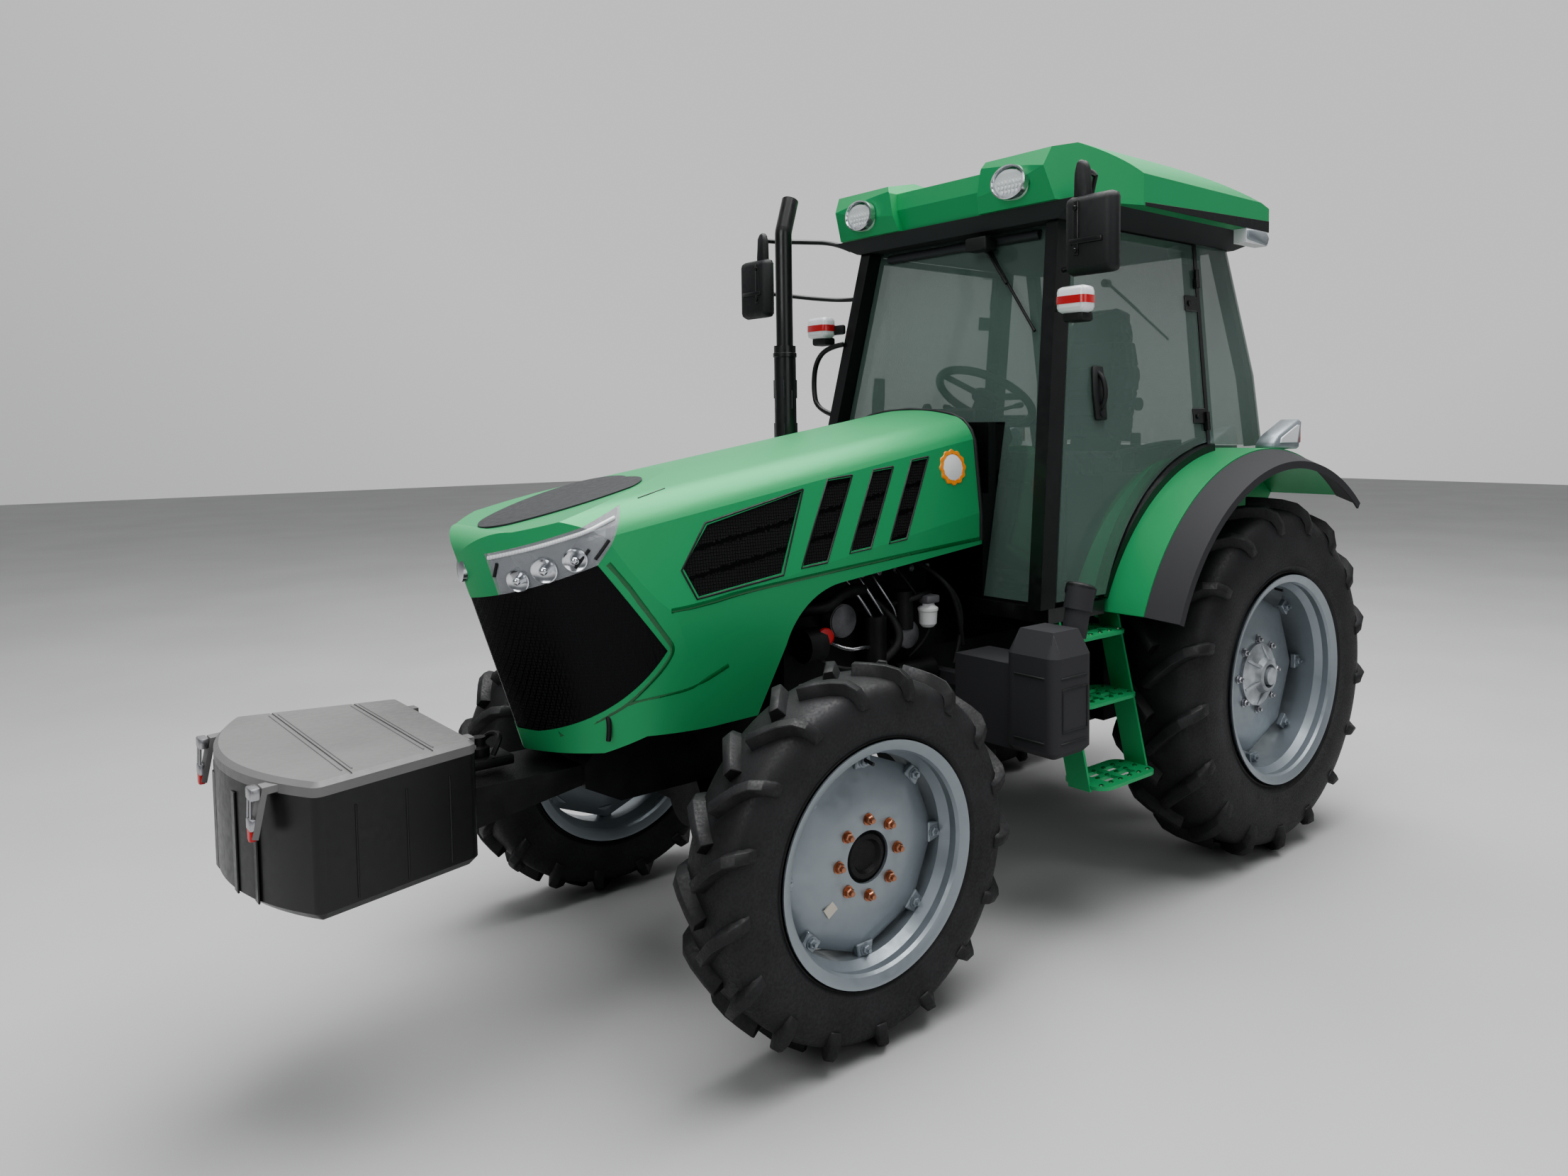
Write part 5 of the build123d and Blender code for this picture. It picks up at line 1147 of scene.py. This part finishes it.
# pedals
pedals = []
for y in (0.155, -0.130, -0.225):
    pad = block((0.902, y - 0.036, 1.245), (0.914, y + 0.036, 1.325), 0.005)
    ribs = [block((0.898, y - 0.032, z), (0.904, y + 0.032, z + 0.007), 0.002)
            for z in (1.255, 1.271, 1.287, 1.303)]
    stem = pipe([(0.912, y, 1.285), (0.960, y, 1.27), (1.000, y, 1.18), (1.000, y, 1.09)], 0.010)
    pedals += [pad, *ribs, stem]
done(joined(*pedals), "pedals", "black_enamel", 40)
mat = block((0.12, -0.29, 1.080), (0.80, 0.29, 1.088), 0.003)
done(mat, "floor_mat", "hose_rubber")

# lever knobs on the console
KNOBS = ((0.470, "red_plastic"), (0.400, "black_plastic"), (0.330, "orange_ring"), (0.540, "black_plastic"))
for number, (x, finish) in enumerate(KNOBS, 1):
    top = touch("side_consoles", at(x, -0.380, 2.3), DOWN)[0]
    grip = turned([(0, -0.055), (0.012, -0.055), (0.014, -0.020), (0.020, -0.004), (0.021, 0.012),
                   (0.015, 0.026), (0, 0.030)], top, UP, 24)
    done(grip, f"lever_knob_{number}", finish, 50)
    grip.data.materials[0] = bpy.data.materials[finish]
for side_name, side in SIDES:
    y = side * 0.385
    top = touch("side_consoles", at(0.15, y, 2.3), DOWN)[0].z
    panel = block((0.02, y - 0.055, top - 0.004), (0.29, y + 0.055, top + 0.006), 0.004)
    switches = [block((x, y - 0.018, top + 0.004), (x + 0.035, y + 0.018, top + 0.014), 0.003)
                for x in (0.045, 0.100, 0.155, 0.210)]
    done(joined(panel, *switches), f"console_switches_{side_name}", "pad_plastic", 40)
sun_roller = pipe([(0.895, -0.40, 2.368), (0.895, 0.40, 2.368)], 0.018, False, 3)
done(sun_roller, "sun_blind", "pad_plastic", 50)

# doors: outside handle, inside bar and lever, hinges
def on_door(x, z, inset=0.0):
    """A place on the left door's glass, or that far inside it."""
    return touch("door_glass_left", at(x, 1.5, z), RIGHT)[0] - LEFT * inset


# a recessed plate with its pull, over a push button
place = on_door(0.800, 1.800)
lean_y = Vector((0, -0.10, 1)).normalized()
plate = flat([(-0.030, -0.095), (0.030, -0.095), (0.034, 0.0), (0.028, 0.095), (-0.028, 0.095),
              (-0.034, 0.0)], place, FORWARD, lean_y, -0.014, 0.004)
pull = hose([place + lean_y * up + LEFT * out for up, out in
             ((0.075, 0.008), (0.060, 0.034), (-0.030, 0.036), (-0.050, 0.010))], 0.009)
button = turned([(0, 0.012), (0.013, 0.012), (0.013, 0.020), (0, 0.022)], place - lean_y * 0.072, LEFT, 20)
on_both(joined(plate, pull, button), "door_handle", "black_plastic", 50, "door_SIDE")

# a grab bar and a release lever inside the glass
bar = [on_door(*p) for p in ((0.70, 1.560, 0.020), (0.68, 1.580, 0.055), (0.50, 1.600, 0.060),
                             (0.30, 1.620, 0.060), (0.27, 1.620, 0.020))]
lever = [on_door(*p) for p in ((0.532, 1.765, 0.020), (0.550, 1.762, 0.050), (0.640, 1.755, 0.052))]
base = turned([(0, -0.008), (0.024, -0.008), (0.024, 0.004), (0, 0.004)], on_door(0.532, 1.765, 0.018),
              LEFT, 24)
bars = joined(hose(bar, 0.011), hose(lever, 0.008), base)
on_both(bars, "door_inner_bar", "black_plastic", 60, "door_SIDE")

# leaves of the hinges on the glass, each with its bolt
leaves = []
for z in (1.72, 2.16):
    place = on_door(0.155, z)
    leaves.append(flat([(-0.028, -0.030), (0.055, -0.030), (0.055, 0.030), (-0.028, 0.030)],
                       place, FORWARD, (0, -0.1, 1), -0.007, 0.002))
    leaves.append(hex_bolt(place + Vector((0.030, 0.006, 0)), LEFT, 0.010, 0.007))
on_both(joined(*leaves), "door_hinge_leaf", "black_enamel", body="door_SIDE")


# ======== rear ========


def on_housing(y, z):
    """A place on the rear axle housing's rear face."""
    return touch("rear_axle_housing", at(-2.5, y, z), FORWARD)[0]


COUPLER_Y = (-0.105, -0.060, 0.060, 0.105)
coupler = [(0.010, 0.030), (0.013, 0.034), (0.018, 0.034), (0.018, 0.012), (0.014, 0.010), (0.014, -0.010),
           (0, -0.010), (0, 0.016), (0.010, 0.018)]
couplers = [turned(coupler, on_housing(y, z), BACK, 24) for y in COUPLER_Y for z in (0.86, 0.915)]
done(joined(*couplers), "hydraulic_couplers", "bright_steel", 30)
cap = [(0, 0.030), (0.0195, 0.030), (0.0195, 0.044), (0.016, 0.048), (0, 0.048)]
caps = [turned(cap, on_housing(y, 0.915), BACK, 20) for y in COUPLER_Y]
done(joined(*caps), "coupler_caps", "red_plastic", 30)

shaft_place = on_housing(0.0, 0.640)
splines = turned([(0, -0.01), (0.0175, -0.01), (0.0175, 0.070), (0.014, 0.076), (0, 0.076)],
                 shaft_place, BACK, 24)
for corner in splines.data.vertices:
    spoke = corner.co - shaft_place
    if atan2(spoke.z, spoke.y) * 6 / pi % 2 > 1:
        corner.co.y -= spoke.y * 0.14
        corner.co.z -= spoke.z * 0.14
flange = turned([(0, -0.004), (0.055, -0.004), (0.055, 0.008), (0.030, 0.012), (0.022, 0.020), (0, 0.020)],
                shaft_place, BACK, 40)
bolt = hex_bolt(shaft_place + Vector((-0.006, 0, 0.044)), BACK, 0.007, 0.006)
bolts = ring_of(bolt, 6, shaft_place, FORWARD)
done(joined(splines, flange, bolts), "power_shaft", "bright_steel", 30)
guard = facing([(-0.085, -0.03), (-0.085, 0.075), (-0.060, 0.090), (0.060, 0.090), (0.085, 0.075),
                (0.085, -0.03), (0.080, -0.03), (0.080, 0.072), (0.058, 0.085), (-0.058, 0.085),
                (-0.080, 0.072), (-0.080, -0.03)], shaft_place + FORWARD * 0.004, -0.095, 0.0)
done(guard, "power_shaft_guard", "black_enamel")
HOUSING_BOLTS = ((0.13, 0.50), (0.13, 0.60), (0.13, 0.78), (0.07, 0.47))
housing_bolts = [hex_bolt(on_housing(side * y, z), BACK, 0.010, 0.009)
                 for y, z in HOUSING_BOLTS for side in (1, -1)]
done(joined(*housing_bolts), "housing_bolts", "bright_steel")

# ball ends and pins of the lift
link_low, link_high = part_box("lower_links")
for side_name, side in SIDES:
    centre = Vector((link_low.x + 0.038, side * (link_high.y - 0.022), link_low.z + 0.036))
    ring = turned([(0.020, -0.019), (0.033, -0.019), (0.0365, -0.012), (0.0365, 0.012), (0.033, 0.019),
                   (0.020, 0.019)], centre, LEFT, 32)
    done(ring, f"link_eye_{side_name}", "bright_steel", 30, "lower_links")
for side_name, side in SIDES:
    place = at(-0.235, side * 0.268, 0.890)
    nut = joined(hex_bolt(place, (0, side, 0), 0.024, 0.014),
                 turned([(0, 0.010), (0.014, 0.010), (0.014, 0.024), (0, 0.026)], place, (0, side, 0), 20))
    done(nut, f"lift_arm_nut_{side_name}", "bright_steel", 30, "lift_arms")

# rear plates and lamps: a bare number plate, reflectors and a lamp over the plate
for side_name, side in SIDES:
    place, way = touch("fender_flares", at(-2.0, side * 0.85, 1.22), FORWARD)
    reflector = turned([(0, -0.002), (0.036, -0.002), (0.036, 0.006), (0.030, 0.009), (0, 0.009)],
                       place, way, 32)
    done(reflector, f"rear_reflector_{side_name}", "red_lens", 30)
plate_face = touch("cab_panels", at(-2.0, 0.25, 1.40), FORWARD)[0]
bare_plate = facing(sheet(0.34, 0.11), plate_face - FORWARD * 0.001, -0.004, 0.001)
done(bare_plate, "bare_number_plate", "white_plastic")
plate_lamp = block((0, 0, 0), (0.03, 0.07, 0.022), 0.005)
moved(plate_lamp, plate_face - at(0, 0, 0) + Vector((-0.028, -0.035, 0.070)))
done(plate_lamp, "plate_lamp", "black_plastic")

# ======== floor, light and camera ========

bpy.ops.mesh.primitive_plane_add(size=60, location=(0, 0, cad_box[0].z))
floor = bpy.context.object
floor.name = "studio_floor"
paper = Finish("studio_paper", {"Roughness": 0.85})
paper.spread(paper.noise(0.7, 3), 0.44, 0.48, "Base Color")
floor.data.materials.append(paper.material)

world = bpy.data.worlds.new("studio_air")
bpy.context.scene.world = world
world.use_nodes = True
air, links = world.node_tree.nodes, world.node_tree.links
way = air.new("ShaderNodeTexCoord")
toward = air.new("ShaderNodeVectorMath")
toward.operation = "DOT_PRODUCT"
toward.inputs[1].default_value = (-0.62, -0.55, 0.56)
ramp = air.new("ShaderNodeValToRGB")
links.new(way.outputs["Generated"], toward.inputs[0])
links.new(toward.outputs["Value"], ramp.inputs["Fac"])
links.new(ramp.outputs["Color"], air["Background"].inputs["Color"])
SKY = ((0.24, 0.25, 0.26, 1), (1, 1, 1, 1))
for stop, position, colour in zip(ramp.color_ramp.elements, (0.1, 0.8), SKY):
    stop.position, stop.color = position, colour
air["Background"].inputs["Strength"].default_value = 0.62


def softbox(name, place, aim, size, power):
    """A square area light that looks at a point."""
    bpy.ops.object.light_add(type="AREA", location=place)
    lamp = bpy.context.object
    lamp.name = name
    lamp.data.size = size
    lamp.data.energy = power
    lamp.rotation_mode = "QUATERNION"
    lamp.rotation_quaternion = (Vector(aim) - Vector(place)).to_track_quat("-Z", "Y")
    return lamp


softbox("overhead_light", at(0.4, 0.5, 9.0), at(0.8, 0, 1), 9, 1250)
softbox("front_light", at(6.5, 1.5, 4.0), at(1.6, 0, 1), 3, 80)
softbox("side_light", at(2.5, 7.0, 3.5), at(1.2, 0, 1), 4, 55)

camera_place = at(3.947, 2.979, 1.690)
camera_turn, camera_tilt, camera_roll = radians(227.755), radians(-3.551), radians(0.422)
bpy.ops.object.camera_add(location=camera_place)
camera = bpy.context.object
look = Vector((cos(camera_turn) * cos(camera_tilt), sin(camera_turn) * cos(camera_tilt), sin(camera_tilt)))
camera.rotation_mode = "QUATERNION"
rolled = Matrix.Rotation(-camera_roll, 4, "Z").to_quaternion()
camera.rotation_quaternion = look.to_track_quat("-Z", "Y") @ rolled
camera.data.sensor_width = 36
camera.data.lens = 25.21
camera.data.shift_x = -0.0708
camera.data.shift_y = -0.0598
bpy.context.scene.camera = camera
bpy.context.scene.view_settings.look = "AgX - Medium High Contrast"
bpy.ops.object.select_all(action="DESELECT")
